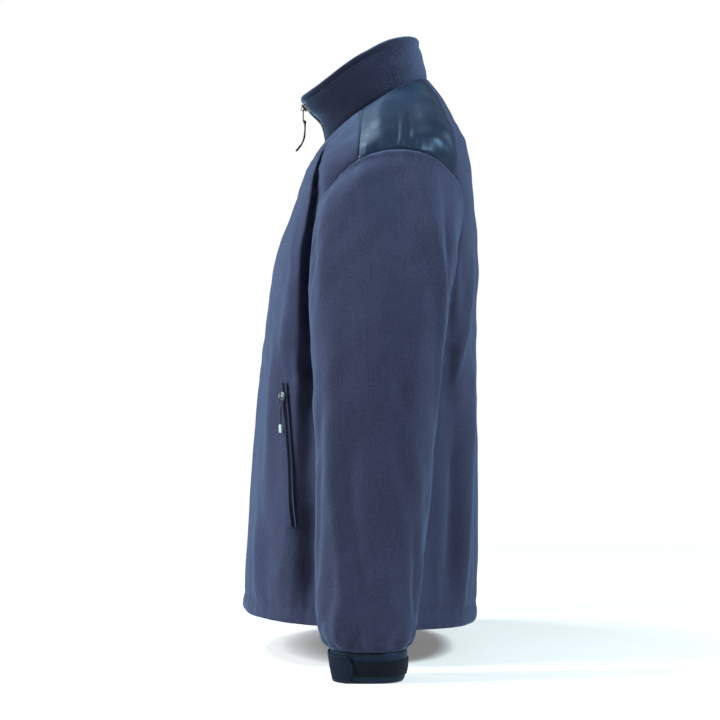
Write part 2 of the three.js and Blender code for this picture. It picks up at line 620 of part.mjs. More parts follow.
// A closed oval loop of cord that hangs from the origin, where its top runs along X
function loopOfCord(length, halfWidth, radius) {
  const count = 16;
  const sides = 6;
  const at = (i, j) => (i % count) * sides + (j % sides);
  const points = [];
  const faces = [];
  for (let i = 0; i < count; i++) {
    const turn = (2 * Math.PI * i) / count;
    const out = vec(Math.sin(turn), 0, Math.cos(turn));
    const drop = Math.cos(turn) > 1e-6 ? 0 : length - 2 * halfWidth;
    const centre = vec(halfWidth * Math.sin(turn), 0, halfWidth * (Math.cos(turn) - 1) - drop);
    for (let j = 0; j < sides; j++) {
      const a = (2 * Math.PI * j) / sides;
      const outward = out.clone().multiplyScalar(radius * Math.cos(a));
      points.push(outward.add(centre).add(vec(0, radius * Math.sin(a), 0)));
      faces.push(...twoFaces(at, i, j));
    }
  }
  return solid(points, faces);
}

// The front zip's pull: a loop and a moulded grip, which bows back and then out. Its columns are how far
// out and how far down a point is, and the radius there.
const GRIP = table("name out down radius", [
  ["top", -1.7, 15, 1.2],
  ["knot", -2.2, 17.2, 2.1],
  ["neck", -2.4, 20, 1.3],
  ["upper", -2.3, 29, 1.1],
  ["middle", -1.2, 38, 1.4],
  ["lower", 1.8, 46, 1.1],
  ["end", 4.6, 50, 1.5],
  ["foot", 9.2, 55.5, 1.4],
]);
function frontPull() {
  const { loop, loopHalfWidth, cord } = FRONT_PULL;
  const path = GRIP.map(({ out, down }) => vec(0, out, -down));
  return joined([loopOfCord(loop, loopHalfWidth, cord), rod(path, GRIP.map(({ radius }) => radius))]);
}

function pocketPull() {
  const { loop, loopHalfWidth, cord, grip, gripRadius } = POCKET_PULL;
  const path = [-loop + 1, -loop - 1, -loop - grip * 0.5, -loop - grip].map((z) => vec(0, 0, z));
  return joined([loopOfCord(loop, loopHalfWidth, cord), rod(path, [1, 1.5, gripRadius, gripRadius])]);
}

function pocketPullTip() {
  const top = -POCKET_PULL.loop - POCKET_PULL.grip - 0.3;
  return new THREE.BoxGeometry(...POCKET_TIP).translate(0, 0, top - POCKET_TIP[2] / 2);
}

// Colours and finishes
const cloths = {
  fleece: new THREE.MeshStandardMaterial({ color: 0x3a425f, roughness: 0.95, metalness: 0 }),
  collarFleece: new THREE.MeshStandardMaterial({ color: 0x363d59, roughness: 0.95, metalness: 0 }),
  woven: new THREE.MeshStandardMaterial({ color: 0x35496a, roughness: 0.5, metalness: 0 }),
  loopTape: new THREE.MeshStandardMaterial({ color: 0x151d2b, roughness: 0.9, metalness: 0 }),
  zipTape: new THREE.MeshStandardMaterial({ color: 0x171b2a, roughness: 0.8, metalness: 0 }),
};
const hard = {
  slider: new THREE.MeshStandardMaterial({ color: 0x1d2129, roughness: 0.4, metalness: 0.6 }),
  bright: new THREE.MeshStandardMaterial({ color: 0xaab4b6, roughness: 0.35, metalness: 0.7 }),
  pull: new THREE.MeshStandardMaterial({ color: 0x14161c, roughness: 0.6, metalness: 0 }),
  tip: new THREE.MeshStandardMaterial({ color: 0xb9c2c0, roughness: 0.4, metalness: 0 }),
};

const jacket = new THREE.Group();
function add(name, geometry, material, parent = jacket) {
  const mesh = new THREE.Mesh(geometry, material);
  mesh.name = name;
  parent.add(mesh);
  return mesh;
}

// A mirrored copy of a geometry, for the wearer's right
function flipped(geometry) {
  const position = geometry.getAttribute("position");
  const pointAt = (i) => acrossMidPlane(new THREE.Vector3().fromBufferAttribute(position, i));
  const points = Array.from({ length: position.count }, (_, i) => pointAt(i));
  return solid(points, cornersOf(geometry));
}

function addPanels() {
  const front = frontDomain();
  const yoke = yokeDomain();
  const fleece = { thick: FLEECE, normal: panelNormal };
  const woven = { thick: WOVEN, normal: panelNormal };
  const turned = { thick: COLLAR_CLOTH, normal: collarNormal };
  add("front_left", cloth(torso, front, fleece), cloths.fleece);
  add("front_right", cloth(torso, mirrored(front), fleece), cloths.fleece);
  add("back", cloth(torso, backDomain(), fleece), cloths.fleece);
  add("yoke_left", cloth(torso, yoke, woven), cloths.woven);
  add("yoke_right", cloth(torso, mirrored(yoke), woven), cloths.woven);
  add("collar", cloth(collar, collarDomain(), turned), cloths.collarFleece);
}

function addArms() {
  add("sleeve_left", sleeveWall(arms.left), cloths.fleece);
  add("sleeve_right", flipped(sleeveWall(arms.right)), cloths.fleece);
  const parts = { cuff: cuffWall(), cuff_loop_tape: loopTape(), cuff_tab: tabWall() };
  const materials = { cuff: cloths.woven, cuff_loop_tape: cloths.loopTape, cuff_tab: cloths.woven };
  for (const [name, geometry] of Object.entries(parts)) {
    add(name + "_left", geometry, materials[name]);
    add(name + "_right", flipped(geometry), materials[name]);
  }
}

function addFrontZip() {
  const { fromX, toX, out, thick } = ZIP_TAPE;
  const half = ZIP_CHAIN.halfWidth;
  add("zip_tape_left", zipStrip(fromX, toX, out, thick), cloths.zipTape);
  add("zip_tape_right", zipStrip(-toX, -fromX, out, thick), cloths.zipTape);
  add("zip_chain", zipStrip(-half, half, ZIP_CHAIN.out, ZIP_CHAIN.thick), cloths.zipTape);
}

// A slider on a zip, seen from a point on the cloth and the cloth's normal there. Its pull's hinge runs
// across the zip, level with the ground, and the pull hangs straight down from it.
function sliderFrame(point, normal, out, rise) {
  const across = vec(0, 0, 1).cross(normal).normalize();
  const up = normal.clone().cross(across);
  const foot = point.clone().addScaledVector(normal, out);
  const slider = new THREE.Matrix4().makeBasis(across, up, normal).setPosition(foot);
  const hinge = vec(0, PULL_DROP, SLIDER.thick + rise).applyMatrix4(slider);
  const outward = vec(0, 0, 1).cross(across);
  return { slider, pull: new THREE.Matrix4().makeBasis(across, outward, vec(0, 0, 1)).setPosition(hinge) };
}

function addFrontSlider() {
  const at = centreFront().find(({ row }) => row === SLIDER.collarRow);
  const frame = sliderFrame(at.point, at.normal, ZIP_CHAIN.out + 0.3, EYE.rise);
  add("front_zip_slider", sliderShape(EYE.rise).applyMatrix4(frame.slider), hard.slider);
  add("front_zip_pull", frontPull().applyMatrix4(frame.pull), hard.pull);
}

// A point beside a pocket zip: u in millimetres towards the side seam, t from its foot to its top
function pocketOn(trunk) {
  return (u, t) => {
    const phi = POCKET.footPhi + (POCKET.topPhi - POCKET.footPhi) * t + u / POCKET.mmPerDegree;
    return trunk(phi, POCKET.footV + (POCKET.topV - POCKET.footV) * t);
  };
}

function addPocket(side, place) {
  const smooth = pocketOn(trunkOf(side === "right"));
  const panel = new THREE.Mesh(place(jacket.getObjectByName("front_" + side).geometry));
  const ray = new THREE.Raycaster();
  const surface = (u, t) => {
    const point = smooth(u, t);
    const normal = normalOf(smooth, u, t);
    ray.set(point.clone().addScaledVector(normal, 20), normal.clone().negate());
    return ray.intersectObject(panel)[0].point;
  };
  const strip = (fromU, toU, thick) => {
    const domain = steps(0, 1, 12).map((t) => [fromU, (fromU + toU) / 2, toU].map((u) => [u, t]));
    const normal = (_, u, t) => normalOf(smooth, u, t);
    return place(cloth(surface, domain, { thick, lift: LIFT, seams: false, normal }));
  };
  add("pocket_lip_front_" + side, strip(-LIP.to, -LIP.from, LIP.thick), cloths.fleece);
  add("pocket_lip_back_" + side, strip(LIP.from, LIP.to, LIP.thick), cloths.fleece);
  const half = POCKET_ZIP.halfWidth;
  add("pocket_zip_" + side, strip(-half, half, POCKET_ZIP.thick), cloths.zipTape);
  const normal = normalOf(smooth, 0, POCKET_SLIDER_AT);
  const frame = sliderFrame(surface(0, POCKET_SLIDER_AT), normal, LIFT + LIP.thick + 0.3, EYE.pocketRise);
  add("pocket_slider_" + side, place(sliderShape(EYE.pocketRise).applyMatrix4(frame.slider)), hard.bright);
  add("pocket_pull_" + side, place(pocketPull().applyMatrix4(frame.pull)), hard.pull);
  add("pocket_pull_tip_" + side, place(pocketPullTip().applyMatrix4(frame.pull)), hard.tip);
}

addPanels();
addArms();
addFrontZip();
addFrontSlider();
addPocket("left", (geometry) => geometry);
addPocket("right", flipped);

export default jacket;
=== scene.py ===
"""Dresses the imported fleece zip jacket: cloth shells with soft folds, seams and stitches, zips and pulls.

Sizes in tables are millimetres in the part's frame: +Z up, the front faces -Y, the wearer's left is +X.
"""

import json
import math

import bpy
import numpy as np
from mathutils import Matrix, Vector


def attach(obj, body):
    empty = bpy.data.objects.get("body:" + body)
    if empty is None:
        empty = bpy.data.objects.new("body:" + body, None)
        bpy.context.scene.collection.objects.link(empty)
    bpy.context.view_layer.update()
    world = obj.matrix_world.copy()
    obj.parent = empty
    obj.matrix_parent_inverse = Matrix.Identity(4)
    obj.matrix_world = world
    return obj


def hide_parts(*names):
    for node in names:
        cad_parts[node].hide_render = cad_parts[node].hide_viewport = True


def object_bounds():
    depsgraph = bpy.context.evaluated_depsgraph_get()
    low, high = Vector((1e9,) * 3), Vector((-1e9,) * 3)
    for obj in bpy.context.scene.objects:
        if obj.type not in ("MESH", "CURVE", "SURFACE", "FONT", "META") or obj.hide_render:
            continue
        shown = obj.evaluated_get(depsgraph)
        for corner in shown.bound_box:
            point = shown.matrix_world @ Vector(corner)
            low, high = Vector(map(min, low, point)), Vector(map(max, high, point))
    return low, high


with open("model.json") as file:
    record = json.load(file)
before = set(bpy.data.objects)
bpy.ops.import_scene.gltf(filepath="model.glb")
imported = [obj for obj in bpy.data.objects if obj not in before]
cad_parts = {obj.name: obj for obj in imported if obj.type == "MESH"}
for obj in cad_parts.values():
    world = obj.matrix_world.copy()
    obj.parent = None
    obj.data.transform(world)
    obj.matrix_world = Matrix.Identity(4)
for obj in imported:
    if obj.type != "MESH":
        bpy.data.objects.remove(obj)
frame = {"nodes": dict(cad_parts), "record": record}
cad_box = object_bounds()

MM = 0.001
CELL = 4.2  # size of a cloth mesh's cells

CLOTH_SEED = 11  # for the cloth's gentle unevenness


# Tables that the part is made from


def table(columns, *rows):
    """One array for each named column."""
    return {name: np.array(column, float) for name, column in zip(columns.split(), zip(*rows))}


RING_COLUMNS = "frontY frontZ sideX sideY sideZ backY backZ frontPower backPower"
TORSO = table(
    RING_COLUMNS,
    (-177, -652, 222, -14, -655, 136, -664, 2.05, 2.3),
    (-172, -572, 220, -12, -574, 137, -580, 2.1, 2.4),
    (-162, -425, 215, -8, -425, 136, -428, 2.15, 2.6),
    (-153, -330, 211, -2, -330, 135, -331, 2.2, 2.8),
    (-146, -272, 209, 5, -275, 135, -273, 2.35, 3),
    (-133, -186, 208, 12, -190, 135, -186, 2.6, 3.3),
    (-109, -118, 214, 18, -110, 130, -105, 2.7, 3.4),
    (-96, -80, 231, 18, -61, 122, -42, 2.7, 3.1),
    (-87, -60, 196, 17, -24, 108, -8, 2.5, 2.7),
    (-78, -43, 135, 13, 7, 92, 28, 2.3, 2.4),
    (-66, -26, 78, 8, 26, 71, 58, 2.1, 2.2),
)
COLLAR = table(
    RING_COLUMNS,
    (-66, -26, 78, 8, 26, 71, 58, 2.1, 2.2),
    (-72, -3, 77, 3, 47, 67, 76, 2.1, 2.2),
    (-87, 13, 74, -5, 67, 63, 93, 2.05, 2.2),
    (-101, 33, 70, -12, 87, 57, 109, 1.95, 2.3),
)
ARMHOLE = table(
    "phi v",
    (93, 4.0),
    (73, 4.2),
    (60, 4.75),
    (53, 5.4),
    (50.8, 5.9),
    (57, 6.27),
    (70, 6.92),
    (90, 7.05),
    (112, 6.8),
    (130, 6.27),
    (135.5, 5.86),
    (131, 5.3),
    (121, 4.7),
    (107, 4.18),
)
ARM_COLUMNS = "outerX outerZ innerX innerZ frontY backY power"
SLEEVE = table(
    ARM_COLUMNS,
    (258, -97, 216, -281, -80, 99, 2.3),
    (286, -150, 221, -289, -82, 92, 2.3),
    (311, -215, 225, -302, -81, 87, 2.3),
    (329, -285, 228, -327, -79, 81, 2.3),
    (338, -360, 232, -374, -77, 75, 2.3),
    (342, -450, 238, -453, -74, 68, 2.3),
    (343, -540, 244, -540, -74, 59, 2.3),
    (345, -610, 250, -609, -74, 50, 2.3),
    (345, -648, 253, -647, -69, 47, 2.4),
    (338, -668, 259, -667, -57, 37, 2.4),
)
CUFF = table(
    ARM_COLUMNS,
    (338, -668.6, 259, -667.6, -57, 37, 2.4),
    (339, -688, 260, -687, -54, 36, 2.4),
    (338, -704.5, 262, -703.5, -50.5, 33.5, 2.4),
)

# Folds run between two points. Height below 0 is a trough. On the trunk a point is phi in degrees and a row,
# and on a sleeve it is degrees round from the outer side, back positive, and a row.
FOLD_COLUMNS = "fromA fromB toA toB width height"
TORSO_FOLDS = table(
    FOLD_COLUMNS,
    (34, 3.9, 37, 1.5, 15, 5.5),
    (42, 4.5, 42, 3.1, 13, 4.5),
    (28, 1.5, 34, 0.3, 15, 4.5),
    (63, 4.1, 62, 2.3, 20, -6),
    (66, 1.3, 63, 0.2, 22, -5.5),
    (144, 4.9, 131, 2.7, 11, 5),
    (151, 3.2, 141, 0.3, 14, 5),
    (138, 2.4, 131, 0.3, 15, -5),
    (166, 6.2, 172, 3.4, 16, -3.5),
    (191, 3.4, 197, 0.5, 18, 4),
    (216, 5.0, 228, 2.5, 12, 5),
    (208, 2.9, 217, 0.3, 14, 4.5),
    (223, 2.2, 230, 0.4, 15, -5),
    (296, 4.1, 299, 2.2, 20, -6),
    (293, 1.2, 297, 0.2, 22, -5),
    (317, 4.6, 318, 3.2, 13, 4),
    (327, 3.7, 322, 1.4, 15, 5),
    (333, 1.4, 327, 0.3, 15, 4),
)
SLEEVE_FOLDS = table(
    FOLD_COLUMNS,
    (36, 0.6, 64, 3.6, 13, 4.5),
    (12, 0.8, 22, 3.4, 14, -3),
    (-44, 0.8, -52, 3.4, 13, 3.5),
    (-40, 4.2, -46, 6.8, 13, 4),
    (30, 5.2, 58, 7.3, 13, 4),
    (44, 6.6, 66, 8.3, 12, -3.5),
    (-28, 7.6, -42, 9.6, 11, 4),
    (-12, 8.5, -24, 9.8, 9, -3.5),
    (168, 1.6, 150, 4.2, 16, -4),
    (-150, 4.4, -132, 6.6, 15, 3.5),
)
TORSO_FOLD_SCALE = (3.3, 85)  # mm for a degree, and for a row
SLEEVE_FOLD_SCALE = (1.25, 55)

# Smaller creases, beside and between the large folds
TORSO_CREASES = table(
    FOLD_COLUMNS,
    (22, 4.6, 27, 2.2, 8, 1.6),
    (46, 3.4, 51, 1.9, 7, -1.8),
    (38, 5.4, 45, 4.2, 7, 1.6),
    (47, 5.6, 52, 4.7, 6, -1.8),
    (57, 4.5, 75, 3.3, 9, 2.4),
    (52, 1.5, 47, 0.5, 9, 1.8),
    (22, 1.2, 26, 0.2, 9, -1.6),
    (12, 6.4, 20, 4.4, 9, -1.4),
    (10, 3.5, 14, 1.6, 9, 1.2),
    (82, 3.8, 84, 2.1, 11, 2.6),
    (101, 4.0, 99, 1.8, 12, -2.4),
    (112, 3.8, 108, 1.2, 11, 2.2),
    (122, 4.4, 118, 2.6, 9, -2),
    (133, 5.2, 138, 4.1, 8, -2.6),
    (147, 4.2, 152, 2.6, 8, -2),
    (158, 5.6, 153, 4.2, 9, 2),
    (161, 1.9, 157, 0.5, 9, -1.8),
    (182, 5.6, 180, 3.6, 12, 1.6),
    (176, 2.6, 172, 0.8, 11, 1.8),
    (203, 4.8, 199, 3.2, 9, -2),
    (228, 5.1, 222, 4.0, 8, -2.6),
    (240, 4.2, 244, 2.4, 10, 2.2),
    (258, 3.8, 256, 1.6, 12, -2.4),
    (272, 3.9, 274, 1.9, 11, 2.4),
    (308, 4.8, 300, 3.6, 8, 2.2),
    (314, 5.6, 309, 4.8, 6, -1.8),
    (311, 3.0, 307, 1.7, 7, -1.8),
    (338, 4.7, 333, 2.4, 8, 1.6),
    (347, 6.0, 341, 4.5, 9, -1.4),
    (337, 1.2, 333, 0.3, 9, -1.6),
)
# Deep valleys where the trunk tucks in behind each sleeve. Their heights are sideways, toward the middle.
# These are on the wearer's left, and the right has them mirrored.
VALLEYS = table(
    FOLD_COLUMNS,
    (40.5, 8.5, 44.5, 6.5, 7, 20),
    (43.5, 6.8, 48, 5.9, 9, 22),
    (47, 6.1, 53.6, 4.85, 12, 27),
    (52.4, 5.1, 57.6, 3.75, 14, 33),
    (56.8, 3.95, 61.4, 2.65, 24, 30),
    (60.8, 2.85, 65, 1.5, 30, 25),
    (64.4, 1.7, 67, 0.2, 30, 20),
    (57, 5.0, 72, 4.3, 11, 10),
    (133.5, 5.75, 127.5, 4.85, 9, 8),
    (127.5, 4.85, 126, 3.8, 12, 9),
    (126, 4.2, 128, 2.6, 19, 10),
    (127.5, 3.1, 131, 1.5, 26, 18),
    (117, 3.4, 119, 1.6, 20, 16),
    (119, 1.8, 121, 0.1, 22, 18),
    (130.5, 1.7, 133, 0.2, 30, 20),
    (127, 4.9, 110, 4.3, 11, 9),
)
SLEEVE_CREASES = table(
    FOLD_COLUMNS,
    (-20, 0.5, -8, 2.4, 8, 1.5),
    (-62, 0.6, -66, 2.6, 8, -1.8),
    (58, 0.7, 82, 2.9, 8, -2.2),
    (2, 2.2, 6, 4.6, 9, 1.2),
    (-24, 3.2, -30, 4.9, 9, -1.5),
    (40, 3.4, 34, 5.2, 9, 1.8),
    (14, 4.6, 46, 5.8, 8, -1.8),
    (4, 5.6, 36, 6.9, 9, 1.7),
    (-18, 5.3, -26, 7.2, 9, -1.6),
    (-58, 5.4, -70, 7.6, 9, -1.8),
    (10, 7.0, 34, 8.3, 8, 1.6),
    (-6, 7.3, 12, 8.4, 7, -1.4),
    (72, 7.1, 90, 8.6, 8, 1.8),
    (96, 2.2, 104, 4.8, 12, 2),
    (118, 4.6, 112, 6.8, 10, -2),
    (16, 0.4, 58, 2.9, 9, 6.0),
    (50, 0.5, 82, 2.3, 12, -5.4),
    (58, 2.7, 74, 5.2, 8, 4.4),
    (-44, 6.0, -20, 8.5, 7, 3.6),
    (-24, 6.0, 2, 8.5, 8, -2.8),
    (30, 6.4, 62, 8.4, 8, 3.0),
    (-10, 0.3, -46, 2.4, 12, 3.2),
    (6, 0.9, 2, 3.4, 18, -3.4),
    (20, 3.6, 26, 6.4, 16, -2.6),
    (140, 6.2, 128, 8.3, 9, 2),
    (-96, 2.0, -104, 4.2, 11, 2),
    (-112, 5.8, -100, 7.9, 10, -2),
    (178, 5.2, 170, 7.6, 10, 2),
    (-168, 1.2, -176, 3.0, 10, 2.2),
)
FOLD_GAIN = 1.4  # the large folds stand out a little more in the cloth than in the solids
TORSO_UNEVEN, SLEEVE_UNEVEN = 0.55, 0.6
CREASES_END = (7.5, 9.5)  # the rows where the trunk's small creases fade out toward the neck
GATHERS = {"height": 1.9, "reach": 1.15, "count": 17}
CAP_PUCKERS = {"height": 1.1, "reach": 0.42, "spread": 2.6}
# Creases of a yoke's thin cloth, in its own millimetres: across from its front seam, and up from the armhole
YOKE_CREASES = table(
    FOLD_COLUMNS,
    (30, 8, 42, 130, 18, 4.4),
    (86, 6, 92, 130, 19, -5.4),
    (58, 5, 62, 58, 4.5, -1.5),
    (67, 5, 70, 74, 4.5, 0.8),
    (75, 6, 78, 60, 4.5, -1.6),
    (84, 5, 86, 44, 4.5, 0.7),
    (98, 62, 147, 36, 9, 1.9),
    (102, 44, 147, 20, 8, -2.0),
    (108, 26, 142, 6, 9, 1.6),
    (112, 96, 140, 84, 8, 1.6),
)
HEM_STITCH = {"v": 0.29, "width": 0.075, "depth": 1.8}
HEM_PUCKER = {"reach": 0.34, "height": 0.5, "wave": 17}
COLLAR_STITCH = {"w": 2.5, "sunk": 0.9, "depth": 1.1}
COLLAR_ROLL = 3.5  # how far the top edge stands up where it is folded
COLLAR_PAD = 1.6  # how far the folded top edge bulges
# How far a row of stitches lies from the front's middle, below the armhole and beside the yoke
ZIP_STITCH, ARMHOLE_STITCH, YOKE_STITCH = 11.5, 6.5, 2.4
YOKE_MM_PER_DEGREE = (3.3, 1.6)  # at the armhole and at the neck

NECK = len(TORSO["frontY"]) - 1
ARMPIT = 4
ARMHOLE_STEPS = len(ARMHOLE["phi"])
ARMHOLE_REACH = 93
SLEEVE_ROWS = len(SLEEVE["outerX"])
YOKE_FRONT, ARMHOLE_TOP, YOKE_BACK = 6, 7, 9
SIDE_SEAM = ARMHOLE["phi"][0]
NECK_AT_YOKE_FRONT, NECK_AT_YOKE_BACK = 70, 146
COLLAR_ROWS = 3
COLLAR_DIP = 5
CUFF_ROWS = 2
CUFF_WAVE = 0.45  # how far the cuff's top edge waves

# About how long each piece is along its edges, which sets how many cells it has
FRONT_WIDTH, BACK_HALF_WIDTH = 275, 215
BACK_HALF_COLUMNS = 54
ARMHOLE_FRONT_LENGTH, ARMHOLE_BACK_LENGTH = 265, 235
YOKE_WIDTH, YOKE_HEIGHT = 150, 135
COLLAR_LENGTH, COLLAR_HEIGHT = 470, 75
SLEEVE_LENGTH, SLEEVE_COLUMNS, SLEEVE_RADIUS = 620, 118, 68
CUFF_HEIGHT, CUFF_COLUMNS = 36, 96
TAB_LENGTH, TAB_HEIGHT = 120, 34

FLEECE, WOVEN, COLLAR_CLOTH = 2.6, 1.6, 5.2  # how thick each cloth is
LIFT = 0.4  # how far a layer stands off the one below it
SEAM_GAP = 0.4
SEAM_TURN = 9  # within about this distance of an armhole seam the normals turn to the seam's own
SEAM_RIDGE = {"height": 2.0, "width": 3.2}
# Rolled edges inside the seams: how deep they lie, and their radii
SEAM_SUNK, COLLAR_SEAM_SUNK, SEAM_RADIUS, ZIP_SEAM_RADIUS = 1.65, 2.0, 0.6, 0.95

ZIP_HALF_OPENING = 5
ZIP_TOP = 2.72
ZIP_TAPE = {"from_x": 0.25, "to_x": 4.65, "out": -1.1, "thick": 1.0}
ZIP_TOOTH = {"pitch": 2.7, "long": 1.5, "reach": 2.5, "foot": -0.7, "head": 0.9}
GRIP = table(
    "out down radius",
    (-1.7, 15, 1.2),
    (-2.2, 17.2, 2.1),
    (-2.4, 20, 1.3),
    (-2.3, 29, 1.1),
    (-1.2, 38, 1.4),
    (1.8, 46, 1.1),
    (4.6, 50, 1.5),
    (9.2, 55.5, 1.4),
)
FRONT_PULL = {"loop": 16, "half_width": 2.6, "cord": 0.75}
POCKET = {"top_phi": 43.5, "top_v": 2.76, "foot_phi": 55, "foot_v": 1.3, "mm_per_degree": 3.6}
LIP = {"near": 1.7, "far": 6.6, "thick": 1.5, "crown": 1.3}
POCKET_ZIP = {"half_width": 1.25, "thick": 1.2}
POCKET_PULL = {"loop": 13, "half_width": 2.4, "cord": 0.65, "grip": 22, "radius": 1.05}
POCKET_TIP = (5.6, 2.2, 10.5)
LOOP_TAPE = {"from": -62, "to": 128, "top": 0.48, "foot": 1.5, "thick": 1.2}
TAB = {"from": -152, "to": -22, "top": 0.06, "foot": 1.97, "thick": 1.8, "cut": 0.36}

# The photograph's view and its light, in metres and watts
CAMERA = {"lens": 103.7, "sensor": 36, "place": (2.8, -0.020, -0.320)}
FLOOR = {"size": 6, "near": 0.5, "far": 1.9, "pale": (0.78, 0.72, 0.69), "glow": 0.2}
FILL_LEVEL = 0.17
# Soft boxes: where each stands, the point that it is turned to, its size, power and colour
LIGHTS = table(
    "x y z toX toY toZ wide tall power red green blue",
    (0.55, -1.85, 0.6, 0.1, -0.05, -0.25, 0.6, 1.0, 84, 0.84, 0.96, 1.0),
    (0.8, 1.7, 1.15, 0.1, 0.05, -0.1, 0.6, 0.8, 84, 0.72, 0.92, 1.0),
    (-0.75, -1.3, 1.7, 0.1, 0.0, -0.05, 0.7, 0.7, 38, 0.7, 0.9, 1.0),
)
# Painted light on the collar: how far before the middle plane its colour starts to turn lighter toward the
# back, over what length, and how much
COLLAR_BACK_PAINTED_LIGHT = {"from": 0.04, "over": 0.1, "gain": 0.42}


# Curves and surfaces


def spline(a, b, c, d, f):
    return 0.5 * (2 * b + (c - a) * f + (2 * a - 5 * b + 4 * c - d) * f**2 + (3 * b - a - 3 * c + d) * f**3)


def between(values, t):
    """A value between rows, on a smooth curve through all of them."""
    last = len(values) - 1
    i = np.clip(np.floor(t).astype(int), 0, last - 1)
    b, c = values[i], values[i + 1]
    a = np.where(i > 0, values[np.maximum(i - 1, 0)], 2 * b - c)
    d = np.where(i + 2 <= last, values[np.minimum(i + 2, last)], 2 * c - b)
    return spline(a, b, c, d, t - i)


def around(values, t):
    """The same on a closed line, where the last row joins the first."""
    start = np.floor(t).astype(int)
    a, b, c, d = (values[(start + k) % len(values)] for k in (-1, 0, 1, 2))
    return spline(a, b, c, d, t - start)


def squared(angle, power):
    """How far a squared ellipse reaches, as a share of an ellipse's radii."""
    return (np.abs(np.sin(angle)) ** power + np.abs(np.cos(angle)) ** power) ** (-1 / power)


def unit(vectors):
    return vectors / np.maximum(np.linalg.norm(vectors, axis=-1, keepdims=True), 1e-9)


def smoothstep(x, low, high):
    t = np.clip((x - low) / (high - low), 0, 1)
    return t * t * (3 - 2 * t)


def ring_point(rows, phi, v):
    at = {name: between(column, v) for name, column in rows.items()}
    angle = np.radians(phi)
    is_front = np.cos(angle) > 0
    reach = squared(angle, np.where(is_front, at["frontPower"], at["backPower"]))
    ahead = reach * np.cos(angle)
    far_y = np.where(is_front, at["frontY"], at["backY"])
    middle_z = (at["backZ"] + at["frontZ"]) / 2
    x = at["sideX"] * reach * np.sin(angle)
    y = at["sideY"] + (far_y - at["sideY"]) * np.abs(ahead)
    z = at["sideZ"] - ahead * (at["backZ"] - at["frontZ"]) / 2 + ahead**2 * (middle_z - at["sideZ"])
    return np.stack([x, y, z], axis=-1)


def fold_height(folds, scale, a, b):
    height = 0
    for from_a, from_b, to_a, to_b, width, tall in zip(*folds.values()):
        run = ((to_a - from_a) * scale[0], (to_b - from_b) * scale[1])
        offset = ((a - from_a) * scale[0], (b - from_b) * scale[1])
        share = np.clip((offset[0] * run[0] + offset[1] * run[1]) / (run[0] ** 2 + run[1] ** 2), 0, 1)
        away = np.hypot(offset[0] - run[0] * share, offset[1] - run[1] * share) / width
        height = height + tall * np.sin(np.pi * (0.12 + 0.76 * share)) * np.exp(-(away**2))
    return height


def normal_of(surface, a, b):
    """The unit normal out of the garment, from steps along both ways of a surface."""
    step = 0.02
    along_a = surface(a + 10 * step, b) - surface(a - 10 * step, b)
    along_b = surface(a, b + step) - surface(a, b - step)
    return unit(np.cross(along_a, along_b))


rng = np.random.default_rng(CLOTH_SEED)


def ripples(count, short, long):
    """Waves in random directions, for the cloth's gentle unevenness: wave numbers and phases."""
    wave = rng.uniform(short, long, count)
    turn = rng.uniform(0, 2 * np.pi, count)
    return 2 * np.pi * np.cos(turn) / wave, 2 * np.pi * np.sin(turn) / wave, rng.uniform(0, 2 * np.pi, count)


TORSO_RIPPLES = ripples(14, 34, 95)
SLEEVE_RIPPLES = ripples(14, 30, 80)


def unevenness(waves, u, v):
    total = 0
    for kx, ky, phase in zip(*waves):
        total = total + np.cos(kx * u + ky * v + phase)
    return total / math.sqrt(len(waves[0]))


def base_torso(phi, v):
    return ring_point(TORSO, phi, v)


def torso(phi, v):
    hem = -HEM_STITCH["depth"] * np.exp(-(((v - HEM_STITCH["v"]) / HEM_STITCH["width"]) ** 2))
    near_hem = np.exp(-(((v - HEM_STITCH["v"]) / HEM_PUCKER["reach"]) ** 2))
    around_mm = phi * TORSO_FOLD_SCALE[0]
    pucker = np.sin(2 * np.pi * around_mm / HEM_PUCKER["wave"] + 2.2 * np.sin(around_mm / 41))
    away_from_neck = 1 - smoothstep(v, *CREASES_END)
    small = fold_height(TORSO_CREASES, TORSO_FOLD_SCALE, phi, v)
    small = small + TORSO_UNEVEN * unevenness(TORSO_RIPPLES, around_mm, v * TORSO_FOLD_SCALE[1])
    height = FOLD_GAIN * fold_height(TORSO_FOLDS, TORSO_FOLD_SCALE, phi, v) + hem + away_from_neck * small
    height = height + HEM_PUCKER["height"] * near_hem * pucker
    point = base_torso(phi, v) + normal_of(base_torso, phi, v) * height[..., None]
    point[..., 0] += fold_height(VALLEYS, TORSO_FOLD_SCALE, 360 - phi, v)
    point[..., 0] -= fold_height(VALLEYS, TORSO_FOLD_SCALE, phi, v)
    return point


def collar(phi, w):
    ahead = np.maximum(0, np.cos(np.radians(phi)))
    dip = COLLAR_DIP * (w / COLLAR_ROWS) ** 2 * 6.75 * ahead**2 * (1 - ahead)
    point = ring_point(COLLAR, phi, w)
    point[..., 2] -= dip
    return point


def arm_point(row, angle):
    """A point on a tilted ring of a sleeve or cuff. Angle 0 is its outer side, and 90 its back."""
    radians = np.radians(angle)
    reach = squared(radians, row["power"])
    along, across = reach * np.cos(radians), reach * np.sin(radians)
    x = (row["outerX"] + row["innerX"]) / 2 + (row["outerX"] - row["innerX"]) / 2 * along
    z = (row["outerZ"] + row["innerZ"]) / 2 + (row["outerZ"] - row["innerZ"]) / 2 * along
    y = (row["frontY"] + row["backY"]) / 2 + (row["backY"] - row["frontY"]) / 2 * across
    return np.stack([x, y, z], axis=-1)


def rows_of(rows):
    count = len(next(iter(rows.values())))
    return [{name: column[i] for name, column in rows.items()} for i in range(count)]


def mirror(points):
    return points * np.array([-1.0, 1.0, 1.0])


